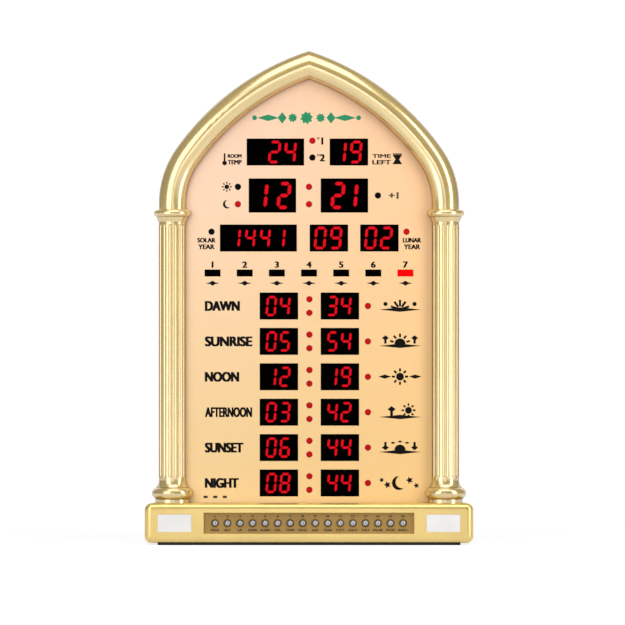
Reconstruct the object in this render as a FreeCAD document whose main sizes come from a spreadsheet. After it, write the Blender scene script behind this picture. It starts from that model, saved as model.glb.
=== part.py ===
import FreeCAD, Part
import Sketcher
import math
import os
import re

# An arch-topped wall and table clock with seven-segment displays for the time, the date and six
# daily times. The front faces -Y, +X is to the right and +Z is up. The origin is at the middle of
# the footprint, on the surface that the clock stands on. Lengths are in millimetres.

Vector = FreeCAD.Vector
doc = FreeCAD.newDocument("azan_clock")

# Driving dimensions
SIZES = {
    # outline of the arch and the columns
    "half_span": 150.2,
    "roll_radius": 13.7,
    "moulding_wall": 2.5,
    "haunch_radius": 96.0,
    "haunch_turn": 35.3,
    "crown_radius": 260.0,
    "mitre_lap": 1.0,
    # depths from front to back
    "case_depth": 56.0,
    "face_setback": 22.0,
    "panel_thickness": 1.5,
    "rim_inset": 1.5,
    "shell_wall": 2.5,
    "back_wall": 3.5,
    "back_edge": 2.0,
    # capitals and column bases
    "arch_stub": 6.0,
    "capital_radius": 18.8,
    "capital_ring": 7.4,
    "capital_neck": 5.0,
    "neck_radius": 16.3,
    "neck_foot_radius": 14.2,
    "base_ring_radius": 17.4,
    "base_ring": 3.4,
    "base_bead": 6.0,
    "base_bead_radius": 20.8,
    "base_flare": 7.0,
    "base_flare_radius": 16.6,
    # flutes of the column shafts
    "flute_radius": 2.6,
    "flute_depth": 1.3,
    "flute_step": 22.5,
    "flute_end": 2.0,
    # plinth
    "plinth_overhang": 13.8,
    "plinth_top": 42.0,
    "floor_gap": 2.0,
    "plinth_corner": 7.0,
    "plinth_edge": 6.5,
    "plinth_wall": 2.8,
    "plinth_end_wall": 5.0,
    "lug_width": 10.0,
    "lug_drop": 9.0,
    "lug_length": 8.0,
    "lug_end": 44.0,
    "foot_width": 10.0,
    "foot_end": 13.0,
    "foot_edge": 9.0,
    # key strip and keys
    "key_pitch": 12.5,
    "key_rise": 20.0,
    "strip_end": 11.25,
    "strip_height": 21.0,
    "strip_thickness": 1.5,
    "strip_lap": 1.5,
    "key_radius": 3.25,
    "key_proud": 2.6,
    "key_flange": 4.1,
    "key_flange_thickness": 1.0,
    "key_stem": 1.6,
    "key_travel": 0.9,
    "key_entry": 0.6,
    "running_gap": 0.06,
    "switch_width": 6.0,
    "switch_height": 3.5,
    "switch_space": 2.8,
    "board_thickness": 1.6,
    "key_board_height": 25.0,
    "key_board_end": 2.0,
    # lamp lenses
    "lens_end": 30.0,
    "lens_width": 33.5,
    "lens_height": 17.5,
    "lens_flange": 1.8,
    "lens_inset": 0.2,
    "lamp_width": 5.0,
    "lamp_height": 1.6,
    "lamp_pitch": 10.0,
    # rows of the face, each measured up from the one below
    "lowest_rise": 19.5,
    "prayer_pitch": 35.4,
    "weekday_rise": 33.0,
    "date_rise": 35.0,
    "time_rise": 42.5,
    "top_rise": 43.5,
    "spring_drop": 8.0,
    # display windows
    "window_height": 27.0,
    "pair_width": 38.5,
    "trio_width": 57.5,
    "year_width": 77.0,
    "time_height": 34.2,
    "time_width": 47.5,
    "temperature_across": -33.6,
    "countdown_across": 39.9,
    "hour_across": -36.6,
    "minute_across": 35.4,
    "year_across": -50.6,
    "month_across": 19.9,
    "day_across": 70.4,
    "row_hour_across": -30.1,
    "row_minute_across": 30.9,
    "weekday_pitch": 32.15,
    "bar_width": 16.0,
    "bar_height": 7.0,
    "window_gap": 0.25,
    "module_inset": 0.6,
    "module_depth": 9.9,
    # lit segments
    "segment_proud": 0.3,
    "segment_slant": 5.0,
    "segment_share": 6.0,
    "small_digit_width": 8.0,
    "small_digit_height": 20.4,
    "small_digit_pitch": 13.6,
    "small_bar": 2.5,
    "medium_digit_width": 9.2,
    "medium_digit_height": 22.8,
    "medium_digit_pitch": 15.6,
    "medium_bar": 2.8,
    "large_digit_width": 9.8,
    "large_digit_height": 27.4,
    "large_digit_pitch": 18.0,
    "large_bar": 3.6,
    "year_digit_pitch": 14.9,
    "digit_set": -0.8,
    "large_shift": 2.6,
    # indicator lamps
    "dot_radius": 3.2,
    "dot_gap": 0.1,
    "dot_proud": 0.3,
    "dot_dome": 1.2,
    "scale_dot_across": 3.4,
    "scale_dot_rise": 8.4,
    "scale_dot_lift": 2.9,
    "half_day_across": -71.1,
    "time_dot_rise": 8.7,
    "summer_across": 68.9,
    "calendar_across": 97.5,
    "calendar_rise": 6.3,
    "row_dot_across": 0.4,
    "row_dot_rise": 6.8,
    "alarm_dot_across": 58.9,
    # display board and what it carries
    "board_edge": 3.0,
    "board_shoulder": 80.0,
    "board_margin": 2.5,
    "board_post_across": 90.0,
    "upper_post_across": 70.0,
    "chip_width": 12.0,
    "chip_height": 9.0,
    "chip_thickness": 2.0,
    "chip_across": 62.0,
    "sensor_radius": 2.4,
    "sensor_length": 4.6,
    "sensor_across": -95.0,
    # screws, posts and bosses
    "screw_radius": 1.5,
    "screw_length": 12.0,
    "screw_engagement": 8.0,
    "screw_head_radius": 2.8,
    "screw_head": 2.0,
    "screw_gap": 0.05,
    "screw_socket": 1.1,
    "post_radius": 4.2,
    "post_floor": 3.0,
    "counterbore_gap": 0.4,
    "boss_radius": 3.6,
    "column_screw_end": 26.0,
    "crown_screw_turn": 53.0,
    "board_screw_length": 8.0,
    # hangers, speaker and power inlet
    "keyhole_across": 70.0,
    "keyhole_drop": 20.0,
    "keyhole_radius": 4.5,
    "keyhole_slot": 4.6,
    "keyhole_rise": 9.0,
    "speaker_radius": 25.0,
    "speaker_drop": 24.0,
    "speaker_rim": 2.0,
    "speaker_cone": 6.0,
    "speaker_magnet_radius": 13.0,
    "speaker_depth": 14.0,
    "grille_hole": 1.5,
    "grille_ring": 7.0,
    "jack_length": 14.0,
    "jack_width": 9.0,
    "jack_height": 11.0,
    "jack_back": 12.0,
    "jack_rise": 19.0,
    "jack_nose_radius": 4.0,
    "jack_bore": 2.8,
    "jack_depth": 9.5,
    "jack_pin": 1.05,
    "jack_pin_inset": 2.0,
    "jack_gap": 0.1,
    # battery bay
    "cell_radius": 7.1,
    "cell_length": 50.0,
    "cell_gap": 0.4,
    "contact_length": 2.2,
    "contact_radius": 3.0,
    "tray_wall": 1.5,
    "bay_across": -50.0,
    "bay_rise": 88.0,
    "door_lap": 4.0,
    "door_thickness": 2.4,
    "door_gap": 0.3,
    "hinge_pin": 0.8,
    "hinge_pin_length": 1.5,
    "thumb_width": 16.0,
    "thumb_height": 5.0,
    "thumb_depth": 0.8,
    # ribbon cable between the two boards
    "ribbon_width": 12.0,
    "ribbon_thickness": 1.0,
    "plug_height": 5.0,
    "plug_depth": 5.0,
    "ribbon_slack": 3.0,
}
KEYS = 16
PRAYER_ROWS = 6
WEEKDAYS = 7
FLUTES = 8
LAMPS = 3
GRILLE_RINGS = 3
GRILLE_STEP = 6
TOUCH = 1e-6
SIDES = {"left": -1, "right": 1}

sheet = doc.addObject("Spreadsheet::Sheet", "dims")
for row, (alias, size) in enumerate(SIZES.items(), start=1):
    sheet.set(f"A{row}", alias)
    sheet.set(f"B{row}", str(size))
    sheet.setAlias(f"B{row}", alias)
doc.recompute()


def bound(text):
    """The expression with each named size pointing at its cell in the sheet."""
    return re.sub(r"[a-z_]+", lambda w: f"dims.{w.group()}" if w.group() in SIZES else w.group(), text)


def value(text):
    """What an expression of the named sizes comes to."""
    return float(sheet.evalExpression(bound(text)))


# Places worked out from the driving dimensions
FRONT = "(-case_depth / 2)"
BACK = "(case_depth / 2)"
FACE = f"({FRONT} + face_setback)"
PANEL_BACK = f"({FACE} + panel_thickness)"
SHELL_INNER = f"({BACK} - back_wall)"
MODULE_FRONT = f"({FACE} + module_inset)"
BOARD_FRONT = f"({MODULE_FRONT} + module_depth)"
BOARD_BACK = f"({BOARD_FRONT} + board_thickness)"
PLINTH_HALF = "(half_span + plinth_overhang)"
STRIP_FRONT = f"({FRONT} + plinth_wall)"
STRIP_BACK = f"({STRIP_FRONT} + strip_thickness)"
SWITCH_FRONT = f"({STRIP_BACK} + key_flange_thickness + switch_space)"
KEY_BOARD_FRONT = f"({SWITCH_FRONT} + switch_height)"
KEY_BOARD_BACK = f"({KEY_BOARD_FRONT} + board_thickness)"
STRIP_MIDDLE = "(floor_gap + key_rise)"
STRIP_HALF = f"({KEYS - 1} * key_pitch / 2 + strip_end)"
LENS_X = f"({PLINTH_HALF} - lens_end)"
KEY_BOSS = f"({STRIP_HALF} + strip_lap + boss_radius + 0.5 * running_gap)"
KEY_BOARD_HALF = f"({LENS_X} + lens_width / 2 + lens_flange + boss_radius + key_board_end)"
COLUMN = "(half_span - roll_radius)"
LOWEST_ROW = "(plinth_top + lowest_rise)"
FIRST_ROW = f"({LOWEST_ROW} + {PRAYER_ROWS - 1} * prayer_pitch)"
WEEKDAY_ROW = f"({FIRST_ROW} + weekday_rise)"
DATE_ROW = f"({WEEKDAY_ROW} + date_rise)"
TIME_ROW = f"({DATE_ROW} + time_rise)"
TOP_ROW = f"({TIME_ROW} + top_rise)"
SPRING = f"({TIME_ROW} - spring_drop)"
CAPITAL_TOP = f"({SPRING} - arch_stub)"
SHAFT_TOP = f"({CAPITAL_TOP} - capital_ring - capital_neck)"
SHAFT_FOOT = "(plinth_top + base_ring + 2 * base_bead + base_flare)"
HAUNCH_X = "(half_span - haunch_radius)"
CROWN_X = f"({HAUNCH_X} - (crown_radius - haunch_radius) * cos(haunch_turn))"
CROWN_Z = f"({SPRING} - (crown_radius - haunch_radius) * sin(haunch_turn))"
BOARD_HALF = f"({WEEKDAYS // 2} * weekday_pitch + bar_width / 2 + board_edge)"
SCREW_SEAT = f"({PANEL_BACK} + post_floor)"
PILOT = "(screw_radius + screw_gap)"
SPEAKER_Z = f"({TIME_ROW} - speaker_drop)"
BAY_Z = "(plinth_top + bay_rise)"
BAY_HALF_X = "(cell_length / 2 + contact_length)"
BAY_HALF_Z = "(2 * cell_radius + cell_gap)"
DOOR_TOP = f"({BAY_Z} + {BAY_HALF_Z} + door_lap)"
DOOR_BOTTOM = f"({BAY_Z} - {BAY_HALF_Z} - door_lap)"
HINGE_Y = f"({BACK} - door_thickness / 2)"
HINGE_Z = f"({DOOR_TOP} - door_thickness / 2)"
CELL_Y = f"({BACK} - door_thickness - cell_gap - cell_radius)"
TRAY_FLOOR = f"({CELL_Y} - cell_radius - cell_gap)"
JACK_Z = "(floor_gap + jack_rise)"
JACK_WALL = f"({PLINTH_HALF} - rim_inset - shell_wall)"

PRAYER_Z = [f"({LOWEST_ROW} + {PRAYER_ROWS - 1 - k} * prayer_pitch)" for k in range(PRAYER_ROWS)]
KEY_X = [f"(({k} - {(KEYS - 1) / 2}) * key_pitch)" for k in range(KEYS)]
BAR_X = [f"(({k} - {WEEKDAYS // 2}) * weekday_pitch)" for k in range(WEEKDAYS)]

# Displays: where each window is, how large it is, what it reads, and its style of digit. The large
# modules show a one in the middle of its place.
DISPLAYS = {
    "temperature_display": [("temperature_across", TOP_ROW, "trio_width", "window_height", " 24", "medium")],
    "countdown_display": [("countdown_across", TOP_ROW, "pair_width", "window_height", "19", "medium")],
    "hour_display": [("hour_across", TIME_ROW, "time_width", "time_height", "12", "large")],
    "minute_display": [("minute_across", TIME_ROW, "time_width", "time_height", "21", "large")],
    "year_display": [("year_across", DATE_ROW, "year_width", "window_height", "1441", "year")],
    "month_display": [("month_across", DATE_ROW, "pair_width", "window_height", "09", "medium")],
    "day_display": [("day_across", DATE_ROW, "pair_width", "window_height", "02", "medium")],
}
PRAYER_TIMES = {
    "dawn_display": ("04", "34"),
    "sunrise_display": ("05", "54"),
    "noon_display": ("12", "19"),
    "afternoon_display": ("03", "42"),
    "sunset_display": ("06", "44"),
    "night_display": ("08", "44"),
}
for height, (display, (hours, minutes)) in zip(PRAYER_Z, PRAYER_TIMES.items()):
    DISPLAYS[display] = [
        ("row_hour_across", height, "pair_width", "window_height", hours, "small"),
        ("row_minute_across", height, "pair_width", "window_height", minutes, "small"),
    ]
DIGIT_STYLES = {
    "small": ("small_digit_width", "small_digit_height", "small_bar", "small_digit_pitch", "digit_set"),
    "medium": ("medium_digit_width", "medium_digit_height", "medium_bar", "medium_digit_pitch", "digit_set"),
    "large": ("large_digit_width", "large_digit_height", "large_bar", "large_digit_pitch", "large_shift"),
    "year": ("small_digit_width", "small_digit_height", "small_bar", "year_digit_pitch", "digit_set"),
}
LIT = {
    "0": "abcdef", "1": "bc", "2": "abged", "3": "abgcd", "4": "fgbc", "5": "afgcd",
    "6": "afgecd", "7": "abc", "8": "abcdefg", "9": "abcdfg", " ": "",
}

# Indicator lamps, as places on the face
SCALE_ROW = f"({TOP_ROW} + scale_dot_lift)"
DOTS = [("scale_dot_across", f"({SCALE_ROW} + {side} * scale_dot_rise)") for side in (1, -1)]
DOTS += [("half_day_across", f"({TIME_ROW} + {side} * time_dot_rise)") for side in (1, -1)]
DOTS += [("0", f"({TIME_ROW} + {side} * time_dot_rise)") for side in (1, -1)]
DOTS += [("summer_across", TIME_ROW)]
DOTS += [(f"({side} * calendar_across)", f"({DATE_ROW} + calendar_rise)") for side in (-1, 1)]
for height in PRAYER_Z:
    DOTS += [("row_dot_across", f"({height} + {side} * row_dot_rise)") for side in (1, -1)]
    DOTS += [("alarm_dot_across", height)]

# Screws of the case: along the columns, round the arch and through the plinth's lugs
COLUMN_SCREWS = [f"({SHAFT_FOOT} + column_screw_end)", f"({SHAFT_TOP} - column_screw_end)"]
CAPITAL_SCREW = f"({CAPITAL_TOP} - (capital_ring + capital_neck) / 2)"
BASE_SCREW = "(plinth_top + base_ring + base_bead)"
HAUNCH_SCREW = (
    f"({HAUNCH_X} + (haunch_radius - roll_radius) * cos(haunch_turn / 2))",
    f"({SPRING} + (haunch_radius - roll_radius) * sin(haunch_turn / 2))",
)
CROWN_SCREW = (
    f"({CROWN_X} + (crown_radius - roll_radius) * cos(crown_screw_turn))",
    f"({CROWN_Z} + (crown_radius - roll_radius) * sin(crown_screw_turn))",
)
APEX_SCREW = f"({CROWN_Z} + sqrt((crown_radius - roll_radius) ^ 2 - {CROWN_X} ^ 2))"
ARCH_SCREWS = [(f"({side} * {x})", z) for side in (-1, 1) for x, z in (HAUNCH_SCREW, CROWN_SCREW)]
ARCH_SCREWS += [("0", APEX_SCREW)]
FACE_SCREWS = ARCH_SCREWS + [
    (f"({side} * {COLUMN})", z)
    for side in (-1, 1)
    for z in (BASE_SCREW, *COLUMN_SCREWS, CAPITAL_SCREW)
]
LUG_SCREW_Z = "(plinth_top - plinth_wall - lug_drop / 2)"
LUG_SCREWS = [(f"({side} * ({PLINTH_HALF} - lug_end))", LUG_SCREW_Z) for side in (-1, 1)]
CASE_SCREWS = FACE_SCREWS + LUG_SCREWS
LOWER_POSTS = (LOWEST_ROW, PRAYER_Z[2])
BOARD_POSTS = [(f"({side} * board_post_across)", z) for side in (-1, 1) for z in LOWER_POSTS]
BOARD_POSTS += [(f"({side} * upper_post_across)", TOP_ROW) for side in (-1, 1)]
KEY_BOARD_SCREWS = [(f"({side} * {KEY_BOSS})", STRIP_MIDDLE) for side in (-1, 1)]
KEY_BOARD_SCREWS += [
    (f"({side} * ({LENS_X} + lens_width / 2 + lens_flange + boss_radius + running_gap))", STRIP_MIDDLE)
    for side in (-1, 1)
]


def body(name):
    """A new sub-part whose label names its file."""
    made = doc.addObject("PartDesign::Body", name)
    made.Label = name
    made.AllowCompound = True
    return made


def sketch_on(part, name, plane, lift="0"):
    """A sketch on one of the part's own origin planes, moved along that plane's normal."""
    made = part.newObject("Sketcher::SketchObject", f"{part.Name}_{name}")
    support = [feature for feature in part.Origin.OriginFeatures if feature.Role == plane][0]
    made.AttachmentSupport = (support, "")
    made.MapMode = "FlatFace"
    made.setExpression("AttachmentOffset.Base.z", bound(lift))
    return made


def front_sketch(part, name, depth):
    """A sketch that looks at the clock from the front, at that depth along Y."""
    return sketch_on(part, name, "XZ_Plane", f"-({depth})")


def bind(sketch, kind, references, text):
    """One dimension of a sketch, tied to an expression of the named sizes."""
    index = sketch.addConstraint(Sketcher.Constraint(kind, *references, value(text)))
    sketch.renameConstraint(index, f"size_{index}")
    sketch.setExpression(f"Constraints.size_{index}", bound(text))


def add_loop(sketch, corners):
    """A closed loop. Each corner is (across, up) or (across, up, radius), where the radius belongs to
    the arc that leads to the next corner, and a leading minus sign hollows that arc."""
    ends = []
    points = [Vector(value(corner[0]), value(corner[1]), 0) for corner in corners]
    for k, corner in enumerate(corners):
        start = points[k]
        stop = points[(k + 1) % len(points)]
        if len(corner) == 2:
            geo = sketch.addGeometry(Part.LineSegment(start, stop))
            ends.append((geo, 1, 2))
            continue
        hollow = corner[2].startswith("-")
        text = corner[2].lstrip("-")
        radius = value(text)
        chord = stop - start
        side = -1 if hollow else 1
        normal = Vector(-chord.y, chord.x, 0).normalize() * side
        rise = math.sqrt(max(radius ** 2 - (chord.Length / 2) ** 2, 0))
        centre = (start + stop) / 2 + normal * rise
        first, last = (stop, start) if hollow else (start, stop)
        begin = math.atan2(first.y - centre.y, first.x - centre.x)
        finish = math.atan2(last.y - centre.y, last.x - centre.x)
        circle = Part.Circle(centre, Vector(0, 0, 1), radius)
        geo = sketch.addGeometry(Part.ArcOfCircle(circle, begin, finish))
        ends.append((geo, 2, 1) if hollow else (geo, 1, 2))
        bind(sketch, "Radius", (geo,), text)
    for k, (geo, start_end, stop_end) in enumerate(ends):
        next_geo, next_start, _ = ends[(k + 1) % len(ends)]
        sketch.addConstraint(Sketcher.Constraint("Coincident", geo, stop_end, next_geo, next_start))
        bind(sketch, "DistanceX", (-1, 1, geo, start_end), corners[k][0])
        bind(sketch, "DistanceY", (-1, 1, geo, start_end), corners[k][1])


def add_box(sketch, across, up, width, height):
    """A rectangle about its middle."""
    left = f"{across} - ({width}) / 2"
    right = f"{across} + ({width}) / 2"
    low = f"{up} - ({height}) / 2"
    high = f"{up} + ({height}) / 2"
    add_loop(sketch, [(left, low), (right, low), (right, high), (left, high)])


def add_circle(sketch, across, up, radius):
    """A circle about its middle."""
    circle = Part.Circle(Vector(value(across), value(up), 0), Vector(0, 0, 1), value(radius))
    geo = sketch.addGeometry(circle)
    bind(sketch, "DistanceX", (-1, 1, geo, 3), across)
    bind(sketch, "DistanceY", (-1, 1, geo, 3), up)
    bind(sketch, "Radius", (geo,), radius)


def add_circles(sketch, places, radius):
    """Circles of one size at each place."""
    for across, up in places:
        add_circle(sketch, across, up, radius)


def pad(part, sketch, length):
    """Adds material in front of the sketch."""
    made = part.newObject("PartDesign::Pad", f"{sketch.Name}_pad")
    made.Profile = sketch
    made.setExpression("Length", bound(length))
    sketch.Visibility = False
    return made


def pocket(part, sketch, depth, forward=False):
    """Cuts behind the sketch, or in front of it where forward is set."""
    made = part.newObject("PartDesign::Pocket", f"{sketch.Name}_cut")
    made.Profile = sketch
    made.Reversed = forward
    made.setExpression("Length", bound(depth))
    sketch.Visibility = False
    return made


def turn(part, sketch, axis, kind="Revolution", angle=360.0, midplane=False):
    """Turns a profile about one of its own sketch axes."""
    made = part.newObject(f"PartDesign::{kind}", f"{sketch.Name}_turn")
    made.Profile = sketch
    made.ReferenceAxis = (sketch, [axis])
    made.Angle = angle
    made.Midplane = midplane
    sketch.Visibility = False
    return made


def edges_where(shape, test):
    """The names of the edges whose middle point passes the test."""
    names = []
    for number, edge in enumerate(shape.Edges, start=1):
        low, high = edge.ParameterRange
        if test(edge.valueAt((low + high) / 2), edge):
            names.append(f"Edge{number}")
    return names


def soften(part, feature, radius, test):
    """Rounds the edges of a feature that pass the test."""
    doc.recompute()
    names = edges_where(feature.Shape, test)
    made = part.newObject("PartDesign::Fillet", f"{part.Name}_rounding")
    made.Base = (feature, names)
    made.setExpression("Radius", bound(radius))
    doc.recompute()
    return made


def arch_corners(inset):
    """The pointed arch from the right springing over the apex to the left springing."""
    haunch = f"(haunch_radius - ({inset}))"
    crown = f"(crown_radius - ({inset}))"
    side = f"(half_span - ({inset}))"
    turn_x = f"({HAUNCH_X} + {haunch} * cos(haunch_turn))"
    turn_z = f"({SPRING} + {haunch} * sin(haunch_turn))"
    apex = f"({CROWN_Z} + sqrt({crown} ^ 2 - {CROWN_X} ^ 2))"
    return [
        (side, SPRING, haunch),
        (turn_x, turn_z, crown),
        ("0", apex, crown),
        (f"-{turn_x}", turn_z, haunch),
        (f"-{side}", SPRING),
    ]


def shell_corners(inset):
    """The rear shell's outline: the arch, the sides and the foot behind the plinth."""
    side = f"(half_span - rim_inset - ({inset}))"
    wide = f"({PLINTH_HALF} - rim_inset - ({inset}))"
    corner = f"(plinth_corner - rim_inset - ({inset}))"
    low = f"(floor_gap + {inset})"
    high = f"(plinth_top - rim_inset - ({inset}))"
    return [
        (f"-{wide} + {corner}", low),
        (f"{wide} - {corner}", low, corner),
        (wide, f"{low} + {corner}"),
        (wide, f"{high} - {corner}", corner),
        (f"{wide} - {corner}", high),
        (side, high),
        *arch_corners(f"rim_inset + {inset}"),
        (f"-{side}", high),
        (f"-{wide} + {corner}", high, corner),
        (f"-{wide}", f"{high} - {corner}"),
        (f"-{wide}", f"{low} + {corner}", corner),
    ]


def rear_shell():
    """The tray that closes the back, with its posts, hangers, grille and battery bay opening."""
    part = body("rear_shell")
    outline = front_sketch(part, "outline", BACK)
    add_loop(outline, shell_corners("0"))
    block = pad(part, outline, f"{BACK} - {PANEL_BACK}")
    back = value(BACK)
    soften(part, block, "back_edge", lambda point, edge: abs(point.y - back) < TOUCH)
    hollow = front_sketch(part, "hollow", PANEL_BACK)
    add_loop(hollow, shell_corners("shell_wall"))
    pocket(part, hollow, f"{SHELL_INNER} - {PANEL_BACK}")
    posts = front_sketch(part, "posts", SHELL_INNER)
    add_circles(posts, CASE_SCREWS, "post_radius")
    pad(part, posts, f"{SHELL_INNER} - {PANEL_BACK}")
    board_posts = front_sketch(part, "board_posts", SHELL_INNER)
    add_circles(board_posts, BOARD_POSTS, "post_radius")
    pad(part, board_posts, f"{SHELL_INNER} - {BOARD_BACK}")
    heads = front_sketch(part, "counterbores", BACK)
    add_circles(heads, CASE_SCREWS, "screw_head_radius + counterbore_gap")
    pocket(part, heads, f"{BACK} - {SCREW_SEAT}", forward=True)
    holes = front_sketch(part, "screw_holes", SCREW_SEAT)
    add_circles(holes, CASE_SCREWS, PILOT)
    pocket(part, holes, "2 * post_floor", forward=True)
    pilots = front_sketch(part, "board_pilots", BOARD_BACK)
    add_circles(pilots, BOARD_POSTS, PILOT)
    pocket(part, pilots, "board_screw_length")
    hangers = front_sketch(part, "keyholes", BACK)
    for side in SIDES.values():
        middle = f"{side} * keyhole_across"
        bottom = f"({TOP_ROW} - keyhole_drop)"
        shoulder = f"({bottom} + sqrt(keyhole_radius ^ 2 - (keyhole_slot / 2) ^ 2))"
        add_loop(hangers, [
            (f"{middle} - keyhole_slot / 2", shoulder, "keyhole_radius"),
            (f"{middle}", f"{bottom} - keyhole_radius", "keyhole_radius"),
            (f"{middle} + keyhole_slot / 2", shoulder),
            (f"{middle} + keyhole_slot / 2", f"{bottom} + keyhole_rise"),
            (f"{middle} - keyhole_slot / 2", f"{bottom} + keyhole_rise"),
        ])
    pocket(part, hangers, "back_wall", forward=True)
    grille = front_sketch(part, "grille", BACK)
    add_circle(grille, "0", SPEAKER_Z, "grille_hole")
    for ring in range(1, GRILLE_RINGS + 1):
        holes_round = GRILLE_STEP * ring
        for k in range(holes_round):
            angle = 360.0 * k / holes_round
            across = f"{ring} * grille_ring * cos({angle})"
            up = f"{SPEAKER_Z} + {ring} * grille_ring * sin({angle})"
            add_circle(grille, across, up, "grille_hole")
    pocket(part, grille, "back_wall", forward=True)
    rebate = front_sketch(part, "door_rebate", BACK)
    add_box(rebate, "bay_across", BAY_Z, f"2 * ({BAY_HALF_X} + door_lap + door_gap)",
            f"2 * ({BAY_HALF_Z} + door_lap + door_gap)")
    pocket(part, rebate, "door_thickness", forward=True)
    bay = front_sketch(part, "bay_opening", BACK)
    add_box(bay, "bay_across", BAY_Z, f"2 * {BAY_HALF_X}", f"2 * {BAY_HALF_Z}")
    pocket(part, bay, "back_wall", forward=True)
    hinge_reach = f"({BAY_HALF_X} + door_lap + 2 * hinge_pin_length)"
    pins = sketch_on(part, "hinge_holes", "YZ_Plane", f"bay_across + {hinge_reach}")
    add_circle(pins, HINGE_Y, HINGE_Z, "hinge_pin + running_gap")
    pocket(part, pins, f"2 * {hinge_reach}")
    inlet = sketch_on(part, "inlet_hole", "YZ_Plane", f"{JACK_WALL} + shell_wall")
    add_circle(inlet, "jack_back", JACK_Z, "jack_nose_radius + jack_gap")
    pocket(part, inlet, "shell_wall")
    return part


def face_panel():
    """The flat sheet with the display windows, behind the mouldings."""
    part = body("face_panel")
    outline = front_sketch(part, "outline", PANEL_BACK)
    side = "(half_span - rim_inset)"
    add_loop(outline, [(f"-{side}", "plinth_top"), (side, "plinth_top"), *arch_corners("rim_inset")])
    pad(part, outline, "panel_thickness")
    windows = front_sketch(part, "windows", FACE)
    for parts in DISPLAYS.values():
        for across, up, width, height, _, _ in parts:
            add_box(windows, across, up, width, height)
    pocket(part, windows, "panel_thickness")
    slots = front_sketch(part, "weekday_slots", FACE)
    for across in BAR_X:
        add_box(slots, across, WEEKDAY_ROW, "bar_width", "bar_height")
    pocket(part, slots, "panel_thickness")
    dots = front_sketch(part, "dots", FACE)
    add_circles(dots, DOTS, "dot_radius")
    pocket(part, dots, "panel_thickness")
    holes = front_sketch(part, "screw_holes", FACE)
    add_circles(holes, FACE_SCREWS, PILOT)
    pocket(part, holes, "panel_thickness")
    return part


def half_round(section, middle, base, radius, inner):
    """A half-round channel in section, open towards its base line."""
    add_loop(section, [
        (f"{middle} - ({radius})", base, f"{radius}"),
        (f"{middle}", f"{base} - ({radius})", f"{radius}"),
        (f"{middle} + ({radius})", base),
        (f"{middle} + ({inner})", base, f"-{inner}"),
        (f"{middle}", f"{base} - ({inner})", f"-{inner}"),
        (f"{middle} - ({inner})", base),
    ])


def add_bosses(part, places, crest):
    """Screw bosses that stand from the inside of a moulding's crest back to the face."""
    bosses = front_sketch(part, "bosses", FACE)
    add_circles(bosses, places, "boss_radius")
    pad(part, bosses, crest)
    pilots = front_sketch(part, "pilots", FACE)
    add_circles(pilots, places, PILOT)
    return pocket(part, pilots, f"screw_engagement + {SCREW_SEAT} - {PANEL_BACK}", forward=True)


def arch_moulding():
    """The half-round channel that follows the pointed arch and is mitred at the apex."""
    part = body("arch_moulding")
    inner = "(roll_radius - moulding_wall)"
    foot = sketch_on(part, "foot", "XY_Plane", CAPITAL_TOP)
    half_round(foot, COLUMN, FACE, "roll_radius", inner)
    pad(part, foot, "arch_stub")
    haunch = sketch_on(part, "haunch", "XY_Plane", SPRING)
    haunch.setExpression("AttachmentOffset.Base.x", bound(HAUNCH_X))
    half_round(haunch, "(haunch_radius - roll_radius)", FACE, "roll_radius", inner)
    bend = turn(part, haunch, "V_Axis")
    bend.Reversed = True
    bend.setExpression("Angle", bound("haunch_turn"))
    crown = sketch_on(part, "crown", "XY_Plane", CROWN_Z)
    tilt = FreeCAD.Rotation(Vector(0, 1, 0), -value("haunch_turn"))
    crown.AttachmentOffset = FreeCAD.Placement(Vector(0, 0, 0), tilt)
    crown.setExpression("AttachmentOffset.Base.x", bound(CROWN_X))
    half_round(crown, "(crown_radius - roll_radius)", FACE, "roll_radius", inner)
    rise = turn(part, crown, "V_Axis")
    rise.Reversed = True
    apex_turn = f"acos(-{CROWN_X} / crown_radius)"
    rise.setExpression("Angle", bound(f"{apex_turn} - (haunch_turn - mitre_lap) * 1 deg"))
    mitre = front_sketch(part, "mitre", FRONT)
    add_box(mitre, "-roll_radius", f"({CROWN_Z} + crown_radius)", "2 * roll_radius", "crown_radius")
    pocket(part, mitre, "face_setback")
    doc.recompute()
    mirror = part.newObject("PartDesign::Mirrored", "arch_mirror")
    mirror.TransformMode = "Whole shape"
    middle_plane = [feature for feature in part.Origin.OriginFeatures if feature.Role == "YZ_Plane"][0]
    mirror.MirrorPlane = (middle_plane, [""])
    part.Tip = mirror
    doc.recompute()
    add_bosses(part, ARCH_SCREWS, "roll_radius - moulding_wall / 2")
    return part


def place_beside(part, side):
    """Moves a column piece, made about its own axis, to its side of the face."""
    part.setExpression("Placement.Base.x", bound(f"{side} * {COLUMN}"))
    part.setExpression("Placement.Base.y", bound(FACE))


def add_column_bosses(part, heights, crest):
    """Screw bosses of a column piece, in the piece's own frame."""
    bosses = front_sketch(part, "bosses", "0")
    add_circles(bosses, [("0", z) for z in heights], "boss_radius")
    pad(part, bosses, crest)
    pilots = front_sketch(part, "pilots", "0")
    add_circles(pilots, [("0", z) for z in heights], PILOT)
    pocket(part, pilots, f"screw_engagement + {SCREW_SEAT} - {PANEL_BACK}", forward=True)


def half_turned(name, corners):
    """A half-round turned moulding about the column's axis, flat at the back and hollow inside."""
    part = body(name)
    profile = sketch_on(part, "profile", "YZ_Plane")
    add_loop(profile, corners)
    turn(part, profile, "V_Axis", angle=180.0, midplane=True)
    doc.recompute()
    return part


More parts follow.
